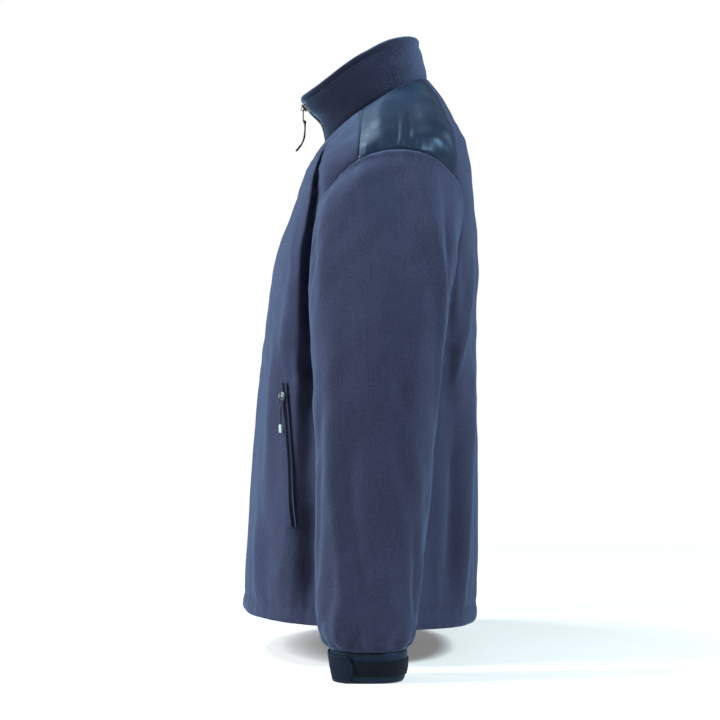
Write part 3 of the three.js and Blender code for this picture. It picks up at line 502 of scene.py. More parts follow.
def sided(side, *grids):
    """Grids made for the wearer's left, mirrored where they are for the right."""
    return [mirror(grid) for grid in grids] if side == "right" else grids


def along_points(points, w):
    """A point at w on the smooth curve through a list of point arrays."""
    stack = np.stack(points)
    last = len(points) - 1
    i = np.clip(np.floor(w).astype(int), 0, last - 1)
    flat = np.indices(i.shape)
    pick = lambda row: stack[(np.clip(row, 0, last), *flat)]
    b, c = pick(i), pick(i + 1)
    a = np.where((i > 0)[..., None], pick(i - 1), 2 * b - c)
    d = np.where((i + 2 <= last)[..., None], pick(i + 2), 2 * c - b)
    return spline(a, b, c, d, (w - i)[..., None])


class Arm:
    """One sleeve, worked out as the left. The right one starts at the right armhole's mirror image."""

    def __init__(self, is_right):
        self.is_right = is_right
        self.top = self.armhole(np.array(float(ARMHOLE_TOP)))
        self.centre = (self.top + self.armhole(np.array(0.0))) / 2

    def trunk(self, phi, v):
        return mirror(torso(360 - phi, v)) if self.is_right else torso(phi, v)

    def armhole(self, k):
        return self.trunk(around(ARMHOLE["phi"], k), around(ARMHOLE["v"], k))

    def angle(self, k):
        offset = self.armhole(k) - self.centre
        half = self.top - self.centre
        return np.degrees(np.arctan2(offset[..., 1] / ARMHOLE_REACH, offset @ half / (half @ half)))

    def plain(self, k, w):
        angle = self.angle(k)
        return along_points([self.armhole(k)] + [arm_point(row, angle) for row in rows_of(SLEEVE)], w)

    def surface(self, k, w):
        fade = smoothstep(w, 0, 0.9) * (1 - smoothstep(w, SLEEVE_ROWS - 0.5, SLEEVE_ROWS))
        angle = self.angle(k)
        height = FOLD_GAIN * fold_height(SLEEVE_FOLDS, SLEEVE_FOLD_SCALE, angle, w)
        height = height + fold_height(SLEEVE_CREASES, SLEEVE_FOLD_SCALE, angle, w)
        around_mm = 70 * np.stack([np.cos(np.radians(angle)), np.sin(np.radians(angle))])
        uneven = unevenness(SLEEVE_RIPPLES, around_mm[0] + w * 23, around_mm[1] + w * SLEEVE_FOLD_SCALE[1])
        height = height + SLEEVE_UNEVEN * uneven
        height = fade * height + self.gathers(angle, w) + self.cap_puckers(k, w)
        return self.plain(k, w) + normal_of(lambda a, b: self.plain(-a, b), -k, w) * height[..., None]

    def gathers(self, angle, w):
        """Small pleats where the sleeve is drawn into the cuff."""
        up = SLEEVE_ROWS - w
        near = np.exp(-((up / GATHERS["reach"]) ** 2)) * smoothstep(up, 0.02, 0.5)
        wave = np.sin(np.radians(angle) * GATHERS["count"] + 1.7 * np.sin(np.radians(angle) * 3 + 1))
        return GATHERS["height"] * near * (wave - 0.2 + 0.4 * np.sin(np.radians(angle) * 7))

    def cap_puckers(self, k, w):
        """The sleeve head is eased into the armhole over the shoulder."""
        near = np.exp(-((w / CAP_PUCKERS["reach"]) ** 2)) * smoothstep(w, 0.0, 0.16)
        over = np.exp(-(((k - ARMHOLE_TOP) / CAP_PUCKERS["spread"]) ** 2))
        return near * (0.5 + over * CAP_PUCKERS["height"] * np.sin(k * 13 + 1.3 * np.sin(k * 2.3)))

    def normal(self, k, w):
        return normal_of(lambda a, b: self.surface(-a, b), -k, w)

    def seam_normal(self, k):
        """Through both the sleeve and the trunk at the armhole, in the arm's own left-hand frame."""
        own = self.normal(k, np.zeros_like(k))
        phi, v = around(ARMHOLE["phi"], k), around(ARMHOLE["v"], k)
        return unit(own + normal_of(self.trunk, phi, v))


ARMS = {"left": Arm(False), "right": Arm(True)}


def cuff(angle, w):
    return along_points([arm_point(row, angle) for row in rows_of(CUFF)], w)


def cuff_normal(angle, w):
    return normal_of(lambda a, b: cuff(-a, b), -angle, w)


# Meshes


def lengths(points, axis):
    """Distance along a grid from its first line, by the grid's own steps."""
    steps = np.linalg.norm(np.diff(points, axis=axis), axis=-1)
    return np.concatenate([np.zeros_like(np.take(steps, [0], axis)), np.cumsum(steps, axis=axis)], axis=axis)


def spaced(length, cell=CELL, edge=(0.7, 1.7, 3.2)):
    """Shares from 0 to 1 for a line of a given length, with closer steps beside both ends."""
    inner = np.linspace(edge[-1] + cell * 0.6, length - edge[-1] - cell * 0.6, max(3, round(length / cell)))
    return np.concatenate([[0], edge, inner, length - np.array(edge[::-1]), [length]]) / length


def edge_distance(points, wrapped=False):
    down = lengths(points, 0)
    distance = np.minimum(down, down[-1:] - down)
    if not wrapped:
        across = lengths(points, 1)
        distance = np.minimum(distance, np.minimum(across, across[:, -1:] - across))
    return distance


def new_object(name, points, faces, uvs=None, uv_faces=None, material=None):
    mesh = bpy.data.meshes.new(name)
    mesh.from_pydata((points * MM).tolist(), [], faces.tolist())
    mesh.polygons.foreach_set("use_smooth", np.ones(len(mesh.polygons), bool))
    if uvs is not None:
        layer = mesh.uv_layers.new(name="cloth")
        layer.data.foreach_set("uv", (uvs[uv_faces.ravel()] * MM).ravel())
    obj = bpy.data.objects.new(name, mesh)
    bpy.context.scene.collection.objects.link(obj)
    if material:
        mesh.materials.append(material)
    mesh.validate()
    return obj


def quads(i, j, after, wide):
    """Quads between grid rows i and i + 1, and columns j and after. A row has wide points."""
    return np.stack([i * wide + j, i * wide + after, (i + 1) * wide + after, (i + 1) * wide + j], 1)


def grid_faces(rows, columns, wrapped):
    """Quads of a grid as vertex numbers, and the same with an extra last column for UVs."""
    i, j = np.indices((rows - 1, columns if wrapped else columns - 1)).reshape(2, -1)
    uv_columns = columns + 1 if wrapped else columns
    return quads(i, j, (j + 1) % columns, columns), quads(i, j, j + 1, uv_columns)


def rim_faces(rows, columns, wrapped):
    """Quads that join an outer grid's edges to an inner grid's."""
    number = np.arange(rows * columns).reshape(rows, columns)
    chains = [number[0, ::-1], number[-1], number[:, 0], number[::-1, -1]]
    if wrapped:
        chains = [np.append(number[0, ::-1], columns - 1), np.append(number[-1], number[-1, 0])]
    edges = np.concatenate([np.stack([chain[:-1], chain[1:]], 1) for chain in chains])
    inner = edges + rows * columns
    return np.stack([edges[:, 0], edges[:, 1], inner[:, 1], inner[:, 0]], 1)


def flat_map(points, wrapped=False):
    """Where each point lies on the flat cloth: across and up, in millimetres."""
    if wrapped:
        points = np.concatenate([points, points[:, :1]], 1)
    return np.stack([lengths(points, 1), lengths(points, 0)], -1)


def shell(name, points, normals, thick, material, wrapped=False, dip=1.1, uvs=None, flip=False):
    """A closed wall of cloth. Its outer side rolls in beside each edge, which makes the seams."""
    distance = edge_distance(points, wrapped)
    roll = np.exp(-((distance / 1.9) ** 2))[..., None]
    outer = points - normals * roll * dip
    inner = points - normals * (thick - roll * dip * 0.35)
    for grid in (outer, inner):
        draw_in(grid, wrapped)
    rows, columns = points.shape[:2]
    vertex, uv_faces = grid_faces(rows, columns, wrapped)
    rim = rim_faces(rows, columns, wrapped)
    if uvs is None:
        uvs = flat_map(points, wrapped)
    rim_uvs = rim // columns % rows * uvs.shape[1] + rim % columns
    inside = vertex[:, ::-1] + rows * columns
    faces = np.concatenate([vertex, inside, rim])
    uv_all = np.concatenate([uv_faces, uv_faces[:, ::-1], rim_uvs])
    if flip:
        faces, uv_all = faces[:, ::-1], uv_all[:, ::-1]
    everything = np.concatenate([outer.reshape(-1, 3), inner.reshape(-1, 3)])
    return new_object(name + "_cloth", everything, faces, uvs.reshape(-1, 2), uv_all, material)


def draw_in(grid, wrapped):
    """Draws a grid's edges in by half a seam gap."""
    pairs = [(np.s_[0], np.s_[1]), (np.s_[-1], np.s_[-2])]
    if not wrapped:
        pairs += [(np.s_[:, 0], np.s_[:, 1]), (np.s_[:, -1], np.s_[:, -2])]
    moves = [(edge, unit(grid[inside] - grid[edge]) * SEAM_GAP / 2) for edge, inside in pairs]
    for edge, move in moves:
        grid[edge] += move


def joined_mesh(parts):
    """Joins lists of (points, faces) with quads into one."""
    points, faces, start = [], [], 0
    for p, f in parts:
        points.append(p)
        faces.append(f + start)
        start += len(p)
    return np.concatenate(points), np.concatenate(faces)


def rod_mesh(path, radii, sides=8, across=None):
    """A round rod along a path, closed by points at both ends."""
    along = unit(np.gradient(path, axis=0))
    side = np.array([1.0, 0, 0]) if across is None else across
    first = unit(side - along * (along @ side)[:, None])
    second = np.cross(along, first)
    turn = np.linspace(0, 2 * np.pi, sides, endpoint=False)
    radii = np.asarray(radii)[:, None, None]
    ring = first[:, None] * np.cos(turn)[None, :, None] + second[:, None] * np.sin(turn)[None, :, None]
    points = path[:, None] + ring * radii
    faces, _ = grid_faces(len(path), sides, True)
    return points.reshape(-1, 3), faces


def at_distance(d, distance, values):
    """Values of a path's points, at other distances along it."""
    return np.stack([np.interp(d, distance, column) for column in values.T], -1)


def stitch_row(path, normals, long=3.0, gap=1.1, radius=0.42):
    """Small threads in a line along a path on the cloth."""
    distance = lengths(path, 0)
    count = int(distance[-1] // (long + gap))
    shares = np.array([0, 0.12, 0.5, 0.88, 1])
    heights = np.array([-0.9, 0.15, 0.5, 0.15, -0.9]) * radius
    thick = np.array([0.35, 0.85, 1, 0.85, 0.35]) * radius
    parts = []
    for start in np.arange(count) * (long + gap) + gap:
        d = start + shares * long
        out = unit(at_distance(d, distance, normals))
        points = at_distance(d, distance, path) + out * heights[:, None]
        parts.append(rod_mesh(points, thick, 5, across=out.mean(0)))
    return joined_mesh(parts)


def smoothed_normals(path, out):
    """Normals of a path, square to it, nearest to given ones."""
    along = unit(np.gradient(path, axis=0))
    return unit(out - along * np.sum(out * along, axis=1, keepdims=True))


def sew(name, rows, slot="fleece", **more):
    """Rows of stitches as one piece. Each row is a path on the cloth with its normals."""
    parts = [stitch_row(path, smoothed_normals(path, normals), **more) for path, normals in rows]
    return trim(new_object(name, *joined_mesh(parts), material=LOOKS["thread"]))


def roll_seams(name, edges, sunk=SEAM_SUNK, radius=SEAM_RADIUS):
    """Overlocked edges inside the seams, which let no light through. Each is a path with its normals."""
    parts = [rod_mesh(path - out * sunk, np.full(len(path), radius)) for path, out in edges]
    return trim(new_object("seams_" + name, *joined_mesh(parts), material=LOOKS["thread"]))


def on_trunk(phi, v, is_right=False):
    """Points on the trunk with their normals."""
    phi, v = np.broadcast_arrays(np.asarray(phi, float), np.asarray(v, float))
    if is_right:
        phi = 360 - phi
    return torso(phi, v), normal_of(torso, phi, v)


def turn_to_seam(out, seam, away, reach=SEAM_TURN):
    """Normals that turn to a seam's own normals close to it."""
    share = np.exp(-((away / reach) ** 2))[..., None]
    return unit(out * (1 - share) + seam * share)


def at_depth(points, depth):
    """For each column of a grid, the point that lies a given way down it, and the row before that point."""
    down = lengths(points, 0)
    rows = np.arange(len(points))
    at = np.array([np.interp(depth, down[:, j], rows) for j in range(points.shape[1])])
    low = np.clip(np.floor(at).astype(int), 0, len(points) - 2)
    j = np.arange(points.shape[1])
    share = (at - low)[:, None]
    return points[low, j] * (1 - share) + points[low + 1, j] * share, low


# Materials


class Nodes:
    """Short calls for one material's nodes."""

    def __init__(self, name, layer="cloth"):
        self.material = bpy.data.materials.new(name)
        self.material.use_nodes = True
        self.nodes, self.links = self.material.node_tree.nodes, self.material.node_tree.links
        self.surface = self.nodes["Principled BSDF"]
        self.layer = layer

    def add(self, kind, **values):
        node = self.nodes.new(kind)
        for key, value in values.items():
            if key in node.inputs:
                node.inputs[key].default_value = value
            else:
                setattr(node, key, value)
        return node

    def link(self, out, into):
        self.links.new(out, into)

    def feed(self, socket, value):
        """Sets a socket to a number or colour, or links a node's output to it."""
        if isinstance(value, (int, float, tuple)):
            socket.default_value = value
        else:
            self.link(value, socket)

    def place(self, scale=(1, 1, 1), turn=0.0):
        """The cloth's own flat coordinates, or a solid's own place, in metres times scale."""
        if self.layer == "solid":
            source = self.add("ShaderNodeTexCoord").outputs["Object"]
        else:
            source = self.add("ShaderNodeUVMap", uv_map=self.layer).outputs["UV"]
        mapping = self.add("ShaderNodeMapping", Scale=scale, Rotation=(0, 0, turn))
        self.link(source, mapping.inputs["Vector"])
        return mapping.outputs["Vector"]

    def noise(self, vector, scale, detail=3.0, rough=0.55, distortion=0.0):
        values = {"Scale": scale, "Detail": detail, "Roughness": rough, "Distortion": distortion}
        node = self.add("ShaderNodeTexNoise", **values)
        self.link(vector, node.inputs["Vector"])
        return node.outputs["Fac"]

    def wave(self, vector, scale, distortion=0.0, direction="X", detail_scale=1.0):
        values = {"Scale": scale, "Distortion": distortion, "Detail": 2.0, "Detail Scale": detail_scale}
        node = self.add("ShaderNodeTexWave", wave_type="BANDS", bands_direction=direction, **values)
        self.link(vector, node.inputs["Vector"])
        return node.outputs["Fac"]

    def cells(self, vector, scale):
        node = self.add("ShaderNodeTexVoronoi", Scale=scale)
        self.link(vector, node.inputs["Vector"])
        return node.outputs["Distance"]

    def math(self, operation, a, b=0.0, clamp=False):
        node = self.add("ShaderNodeMath", operation=operation, use_clamp=clamp)
        self.feed(node.inputs[0], a)
        self.feed(node.inputs[1], b)
        return node.outputs[0]

    def total(self, *terms):
        """A sum of values, each times its own share."""
        parts = [self.math("MULTIPLY", value, share) for value, share in terms]
        result = parts[0]
        for part in parts[1:]:
            result = self.math("ADD", result, part)
        return result

    def between(self, fac, low, high):
        """A number that runs from low to high as fac runs from 0 to 1."""
        return self.math("ADD", self.math("MULTIPLY", fac, high - low), low)

    def ramp(self, fac, stops):
        node = self.add("ShaderNodeValToRGB")
        ramp = node.color_ramp
        while len(ramp.elements) < len(stops):
            ramp.elements.new(0.5)
        for element, (place, colour) in zip(ramp.elements, stops):
            element.position = place
            element.color = (*colour, 1)
        self.link(fac, node.inputs["Fac"])
        return node.outputs["Color"]

    def mix(self, fac, a, b):
        """A colour that runs from a to b as fac runs from 0 to 1."""
        node = self.add("ShaderNodeMix", data_type="RGBA")
        for i, value in ((0, fac), (6, (*a, 1)), (7, (*b, 1))):
            self.feed(node.inputs[i], value)
        return node.outputs[2]

    def bump(self, height, distance, strength=1.0):
        node = self.add("ShaderNodeBump", Strength=strength, Distance=distance)
        self.link(height, node.inputs["Height"])
        self.link(node.outputs["Normal"], self.surface.inputs["Normal"])

    def set(self, **values):
        for key, value in values.items():
            self.feed(self.surface.inputs[key.replace("_", " ")], value)
        return self.material


def fleece(name, dark, light, sheen=0.34, painted_back_light=None):
    """Brushed fleece: faint ribs down the cloth, short lying pile, small tufts and an uneven tone.

    With a lighter colour given, the colour turns to it toward the back of the neck: painted light, where the
    back of the collar catches more light.
    """
    n = Nodes(name)
    ribs = n.wave(n.place((1, 0.12, 1)), 118, 2.4, detail_scale=3.0)
    streaks = n.noise(n.place((1, 0.05, 1)), 420, 2, 0.6)
    pile = n.noise(n.place((1, 0.42, 1)), 900, 4, 0.65, 0.6)
    tufts = n.cells(n.place((1, 0.8, 1)), 330)
    mottle = n.noise(n.place((1, 0.7, 1)), 460, 2, 0.5, 0.3)
    tone = n.noise(n.place(), 26, 3)
    n.bump(n.total((ribs, 0.04), (streaks, 0.2), (pile, 0.5), (tufts, -0.3), (mottle, 0.5)), 0.0009, 0.7)
    shade = n.total((ribs, 0.03), (pile, 0.34), (streaks, 0.12), (mottle, 0.36), (tone, 0.15))
    stops = [(0.28, dark), (0.72, light)]
    if painted_back_light:
        # painted light: the colour lightens toward the back of the neck
        place = n.add("ShaderNodeTexCoord").outputs["Object"]
        apart = n.add("ShaderNodeSeparateXYZ")
        n.link(place, apart.inputs["Vector"])
        turned = n.math("DIVIDE", n.math("ADD", apart.outputs["Y"], COLLAR_BACK_PAINTED_LIGHT["from"]), COLLAR_BACK_PAINTED_LIGHT["over"], clamp=True)
        shade = n.total((shade, 1.0), (turned, COLLAR_BACK_PAINTED_LIGHT["gain"]))
        stops.append((1.0, painted_back_light))
    return n.set(
        Base_Color=n.ramp(shade, stops),
        Roughness=0.95,
        Sheen_Weight=sheen,
        Sheen_Roughness=0.35,
        Sheen_Tint=(0.32, 0.56, 0.9, 1),
        Specular_IOR_Level=0.05,
    )


def satin(name, dark, light, rough=(0.42, 0.55), gloss=0.3, sheen=0.1):
    """Fine woven cloth with a soft gloss: threads both ways, slight crinkles and uneven yarn."""
    n = Nodes(name)
    warp = n.wave(n.place(), 420, 0.4)
    weft = n.wave(n.place(), 380, 0.4, direction="Y")
    crinkle = n.noise(n.place(), 40, 3, 0.5, 0.3)
    slub = n.noise(n.place((0.25, 6, 1)), 120, 2)
    weave = n.total((warp, 0.5), (weft, 0.5))
    n.bump(n.total((weave, 0.1), (crinkle, 0.9)), 0.0011, 0.6)
    shade = n.total((weave, 0.3), (crinkle, 0.45), (slub, 0.25))
    return n.set(
        Base_Color=n.ramp(shade, ((0.3, dark), (0.7, light))),
        Roughness=n.between(crinkle, rough[0], rough[1]),
        Sheen_Weight=sheen,
        Sheen_Roughness=0.35,
        Sheen_Tint=(0.35, 0.6, 0.95, 1),
        Specular_IOR_Level=gloss,
        Specular_Tint=(0.42, 0.68, 1.0, 1),
        Anisotropic=0.3,
    )


def looped(name, dark, light):
    """The loop side of a hook-and-loop tape."""
    n = Nodes(name)
    loops = n.cells(n.place(), 900)
    fuzz = n.noise(n.place(), 1500, 3, 0.7)
    height = n.total((loops, 1.0), (fuzz, 0.6))
    n.bump(height, 0.0009, 0.9)
    colour = n.ramp(n.math("MULTIPLY", height, 0.7), ((0.2, light), (0.8, dark)))
    return n.set(Base_Color=colour, Roughness=0.9, Sheen_Weight=0.05, Specular_IOR_Level=0.08)


def tape(name, dark, light):
    """Herringbone zip tape."""
    n = Nodes(name)
    height = n.math("MAXIMUM", *(n.wave(n.place(turn=turn), 300, 0.2) for turn in (0.7, -0.7)))
    n.bump(height, 0.0003, 0.7)
    colour = n.ramp(height, ((0.3, dark), (1.0, light)))
    return n.set(Base_Color=colour, Roughness=0.85, Sheen_Weight=0.05, Specular_IOR_Level=0.1)


def moulded(name, dark, light, rough, metal=0.0):
    """Moulded plastic or cast metal, with a faint grain and worn spots."""
    n = Nodes(name, "solid")
    grain = n.noise(n.place(), 1600, 3, 0.6)
    wear = n.noise(n.place(), 260, 4, 0.6)
    n.bump(n.total((grain, 1.0), (wear, 0.6)), 0.00012, 0.6)
    colour = n.ramp(wear, ((0.35, dark), (0.7, light)))
    return n.set(Base_Color=colour, Roughness=n.between(wear, rough[0], rough[1]), Metallic=metal)


def braided(name, dark, light):
    """Thin cord with a braid's slanting strands."""
    n = Nodes(name, "solid")
    one = n.wave(n.place((1, 1, 0.7), 0.8), 700, 0.3, "DIAGONAL")
    n.bump(one, 0.0002, 0.7)
    return n.set(Base_Color=n.ramp(one, ((0.2, dark), (0.9, light))), Roughness=0.75, Sheen_Weight=0.2)


def thread(name, dark, light):
    """Sewing thread with a twist."""
    n = Nodes(name, "solid")
    twist = n.wave(n.place(), 900, 0.5, "DIAGONAL")
    n.bump(twist, 0.0001, 0.6)
    colour = n.ramp(twist, ((0.2, dark), (0.9, light)))
    return n.set(Base_Color=colour, Roughness=0.7, Sheen_Weight=0.1, Specular_IOR_Level=0.2)


LOOKS = {
    "fleece": fleece("fleece", (0.018, 0.020, 0.040), (0.045, 0.049, 0.090)),
    # The collar's fleece is a darker copy of the body's fleece, painted shade for the shaded collar; toward
    # the back of the neck it turns lighter as painted light.
    "collar_fleece": fleece(
        "collar_fleece", (0.006, 0.0065, 0.014), (0.017, 0.0185, 0.036), 0.7, painted_back_light=(0.046, 0.058, 0.10)
    ),
    "woven": satin("woven", (0.006, 0.010, 0.023), (0.0115, 0.019, 0.038), (0.36, 0.47), 0.38),
    "tab": satin("tab", (0.004, 0.0055, 0.012), (0.009, 0.012, 0.024), (0.6, 0.75), 0.1, 0.04),
    "cuff": satin("cuff", (0.007, 0.010, 0.022), (0.014, 0.019, 0.038), (0.5, 0.65), 0.2, 0.08),
    "loop_tape": looped("loop_tape", (0.002, 0.0035, 0.006), (0.007, 0.011, 0.018)),
    "zip_tape": tape("zip_tape", (0.006, 0.007, 0.016), (0.014, 0.016, 0.034)),
    "teeth": moulded("teeth", (0.010, 0.012, 0.022), (0.022, 0.025, 0.042), (0.3, 0.45)),
    "dark_metal": moulded("dark_metal", (0.008, 0.011, 0.013), (0.035, 0.042, 0.045), (0.4, 0.6), 0.6),
    "bright_metal": moulded("bright_metal", (0.20, 0.24, 0.25), (0.50, 0.55, 0.55), (0.3, 0.5), 0.85),
    "pull_cord": braided("pull_cord", (0.003, 0.0035, 0.006), (0.010, 0.011, 0.016)),
    "pull_grip": moulded("pull_grip", (0.003, 0.0035, 0.005), (0.008, 0.009, 0.012), (0.5, 0.65)),
    "pull_tip": moulded("pull_tip", (0.26, 0.30, 0.29), (0.42, 0.47, 0.45), (0.35, 0.5)),
    "thread": thread("thread", (0.012, 0.014, 0.030), (0.032, 0.038, 0.074)),
}


def dress(obj, node, body="jacket"):
    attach(obj, body)
    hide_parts(node)
    return obj


def finish_node(node, look):
    """Gives a kept CAD node its material, in the slot of the same name."""
    obj = frame["nodes"][node]
    obj.data.materials.clear()
    obj.data.materials.append(LOOKS[look])


def trim(obj, body="jacket"):
    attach(obj, body)
    return obj


# Trunk panels


def beside_zip(rows, v, away=ZIP_HALF_OPENING):
    """Phi of a line at a given distance from the front's middle."""
    return np.degrees(np.arcsin(away / between(rows["sideX"], v)))


def mix(a, b, t):
    return [x + (y - x) * t for x, y in zip(a, b)]


def lower_rows():
    """Rows from the hem to the armpit, evenly spaced in height."""
    heights = TORSO["sideZ"][: ARMPIT + 1]
    shares = spaced(heights[-1] - heights[0])[:-4]
    return np.interp(heights[0] + shares * (heights[-1] - heights[0]), heights, np.arange(ARMPIT + 1.0))


def panel_domain(s, inner_edge, armhole_length, from_k, to_k, neck_at, neck_columns, crowding):
    """Phi, row and place along the armhole for each point of a panel, from its inner edge to its side.

    The armhole runs from from_k to to_k. The top edge is neck for the share neck_columns, and then yoke seam.
    """
    low_v = lower_rows()[:, None]
    low = mix([inner_edge(low_v), low_v], [SIDE_SEAM, low_v], s[None])
    t = np.concatenate([[0], spaced(armhole_length)[4:]])[:, None]
    v = ARMPIT + (NECK - ARMPIT) * t**crowding
    k = from_k + (to_k - from_k) * t
    straight = mix([inner_edge(v), v], [around(ARMHOLE["phi"], k), around(ARMHOLE["v"], k)], s[None])
    corner = [ARMHOLE["phi"][to_k], ARMHOLE["v"][to_k]]
    edge = inner_edge(np.array(float(NECK)))
    neck_share = np.clip(s / neck_columns, 0, 1)
    seam_share = np.clip((s - neck_columns) / (1 - neck_columns), 0, 1)
    top = [
        edge + (neck_at - edge) * neck_share + (corner[0] - neck_at) * seam_share,
        NECK + (corner[1] - NECK) * seam_share,
    ]
    flat = mix([edge, NECK], corner, s)
    high = [straight[c] + t**2 * (top[c] - flat[c])[None] for c in (0, 1)]
    phi, v = (np.concatenate([np.broadcast_to(low[c], (len(low_v), len(s))), high[c]]) for c in (0, 1))
    return phi, v, np.concatenate([np.full(len(low_v), float(from_k)), k[:, 0]])


def panel(name, points, out, seam_normals, seam_distance):
    normals = turn_to_seam(out, seam_normals, seam_distance)
    dress(shell(name, points, normals, FLEECE, LOOKS["fleece"]), name)


def side_seam_normals(side, k):
    return sided(side, ARMS[side].seam_normal(k))[0]


def distance_to_column(points, column, rows_with):
    """Distance to a grid's column along each row that has a seam there, and far for the other rows."""
    across = lengths(points, 1)
    distance = np.abs(across - across[:, [column]])
    return np.where(rows_with[:, None], distance, 1e3)


def build_front(side):
    edge = lambda v: beside_zip(TORSO, v)
    s = spaced(FRONT_WIDTH)
    phi, v, k = panel_domain(s, edge, ARMHOLE_FRONT_LENGTH, 0, YOKE_FRONT, NECK_AT_YOKE_FRONT, 0.5, 1.6)
    points, out = on_trunk(phi, v, side == "right")
    roll_seams("front_" + side, [(points[:, 0], out[:, 0])], radius=ZIP_SEAM_RADIUS)
    seam = side_seam_normals(side, k)[:, None]
    panel("front_" + side, points, out, seam, distance_to_column(points, -1, k > 0))


def build_back():
    s = np.concatenate([[0], np.linspace(0, 1, BACK_HALF_COLUMNS)[1:-4], spaced(BACK_HALF_WIDTH)[-4:]])
    ends = (ARMHOLE_STEPS, YOKE_BACK)
    phi, v, k = panel_domain(s, lambda v: 180.0, ARMHOLE_BACK_LENGTH, *ends, NECK_AT_YOKE_BACK, 0.3, 1.15)
    full_phi = np.concatenate([phi[:, ::-1], 360 - phi[:, 1:]], 1)
    full_v = np.concatenate([v[:, ::-1], v[:, 1:]], 1)
    points, out = on_trunk(full_phi, full_v)
    low = k == ARMHOLE_STEPS
    roll_seams("back", [(points[low, c], out[low, c]) for c in (0, -1)])
    is_left = (np.arange(points.shape[1]) < phi.shape[1] - 1)[None, :, None]
    left, right = (side_seam_normals(side, k)[:, None] for side in ("left", "right"))
    distance = np.minimum(*(distance_to_column(points, c, ~low) for c in (0, -1)))
    panel("back", points, out, np.where(is_left, left, right), distance)


def yoke_domain():
    t = spaced(YOKE_HEIGHT, 3.2)[:, None]
    s = spaced(YOKE_WIDTH, 3.2)[None]
    front = [ARMHOLE["phi"][YOKE_FRONT], ARMHOLE["v"][YOKE_FRONT]]
    rear = [ARMHOLE["phi"][YOKE_BACK], ARMHOLE["v"][YOKE_BACK]]
    left = mix(front, [NECK_AT_YOKE_FRONT, NECK], t)
    right = mix(rear, [NECK_AT_YOKE_BACK, NECK], t)
    k = YOKE_FRONT + (YOKE_BACK - YOKE_FRONT) * s
    bottom = [around(ARMHOLE["phi"], k), around(ARMHOLE["v"], k)]
    low = mix(front, rear, s)
    high = mix([NECK_AT_YOKE_FRONT, NECK], [NECK_AT_YOKE_BACK, NECK], s)
    top = [NECK_AT_YOKE_FRONT + (NECK_AT_YOKE_BACK - NECK_AT_YOKE_FRONT) * s, np.full_like(s, NECK)]
    straight = mix(left, right, s)
    phi, v = (straight[c] + (1 - t) * (bottom[c] - low[c]) + t * (top[c] - high[c]) for c in (0, 1))
    return phi, v, k[0], t, s


def build_yoke(side):
    phi, v, k, t, s = yoke_domain()
    points, normals = on_trunk(phi, v, side == "right")
    up = lengths(points, 0)
    normals = turn_to_seam(normals, side_seam_normals(side, k)[None], up)
    inside = smoothstep(edge_distance(points), 1, 12)
    wide, tall = np.broadcast_arrays(s * YOKE_WIDTH, t * YOKE_HEIGHT)
    crease = fold_height(YOKE_CREASES, (1, 1), wide, tall)
    gathers = 0.28 * np.exp(-(((tall - 7) / 8) ** 2)) * np.sin(wide / 1.9 + 1.5 * np.sin(wide / 13))
    ripple = 0.14 * unevenness(TORSO_RIPPLES, wide * 1.3, tall * 1.3)
    points = points + normals * (inside * (crease + ripple) + gathers * smoothstep(up, 0.5, 6))[..., None]
    roll_seams("yoke_" + side, [(points[:, c], normals[:, c]) for c in (0, -1)])
    dress(shell("yoke_" + side, points, normals, WOVEN, LOOKS["woven"]), "yoke_" + side)


def build_collar():
    w = spaced(COLLAR_HEIGHT, 3.4) * COLLAR_ROWS
    s = spaced(COLLAR_LENGTH, 4.0)
    edge = beside_zip(COLLAR, w)[:, None]
    phi = edge + (360 - 2 * edge) * s[None]
    w = np.broadcast_to(w[:, None], phi.shape)
    points = collar(phi, w)
    own = normal_of(collar, phi, w)
    neck = unit(normal_of(torso, phi, np.full_like(phi, NECK)) + own)
    normals = turn_to_seam(own, neck, w, 0.3)
    stitch = -COLLAR_STITCH["depth"] * np.exp(-(((w - COLLAR_STITCH["w"]) / 0.09) ** 2))
    soft = 0.4 * unevenness(TORSO_RIPPLES, phi * 2.2, w * 40) * smoothstep(w, 0.1, 0.6)
    pad = COLLAR_PAD * np.exp(-(((w - 2.82) / 0.15) ** 2)) * smoothstep(COLLAR_ROWS - w, 0.0, 0.12)
    points = points + normals * (stitch + soft + pad)[..., None]
    behind = -np.cos(np.radians(phi))
    points[..., 2] += COLLAR_ROLL * smoothstep(w, 2.4, COLLAR_ROWS) * smoothstep(behind, -0.5, 0.8)
    edges = (np.s_[0], np.s_[:, 0], np.s_[:, -1])
    roll_seams("collar", [(points[edge], normals[edge]) for edge in edges], COLLAR_SEAM_SUNK)
    obj = shell("collar", points, normals, COLLAR_CLOTH, LOOKS["collar_fleece"], dip=2.2)
    dress(obj, "collar")


# Sleeves and cuffs


def closed(path):
    """A ring's path that ends just past its start."""
    return np.concatenate([path, path[:2]])


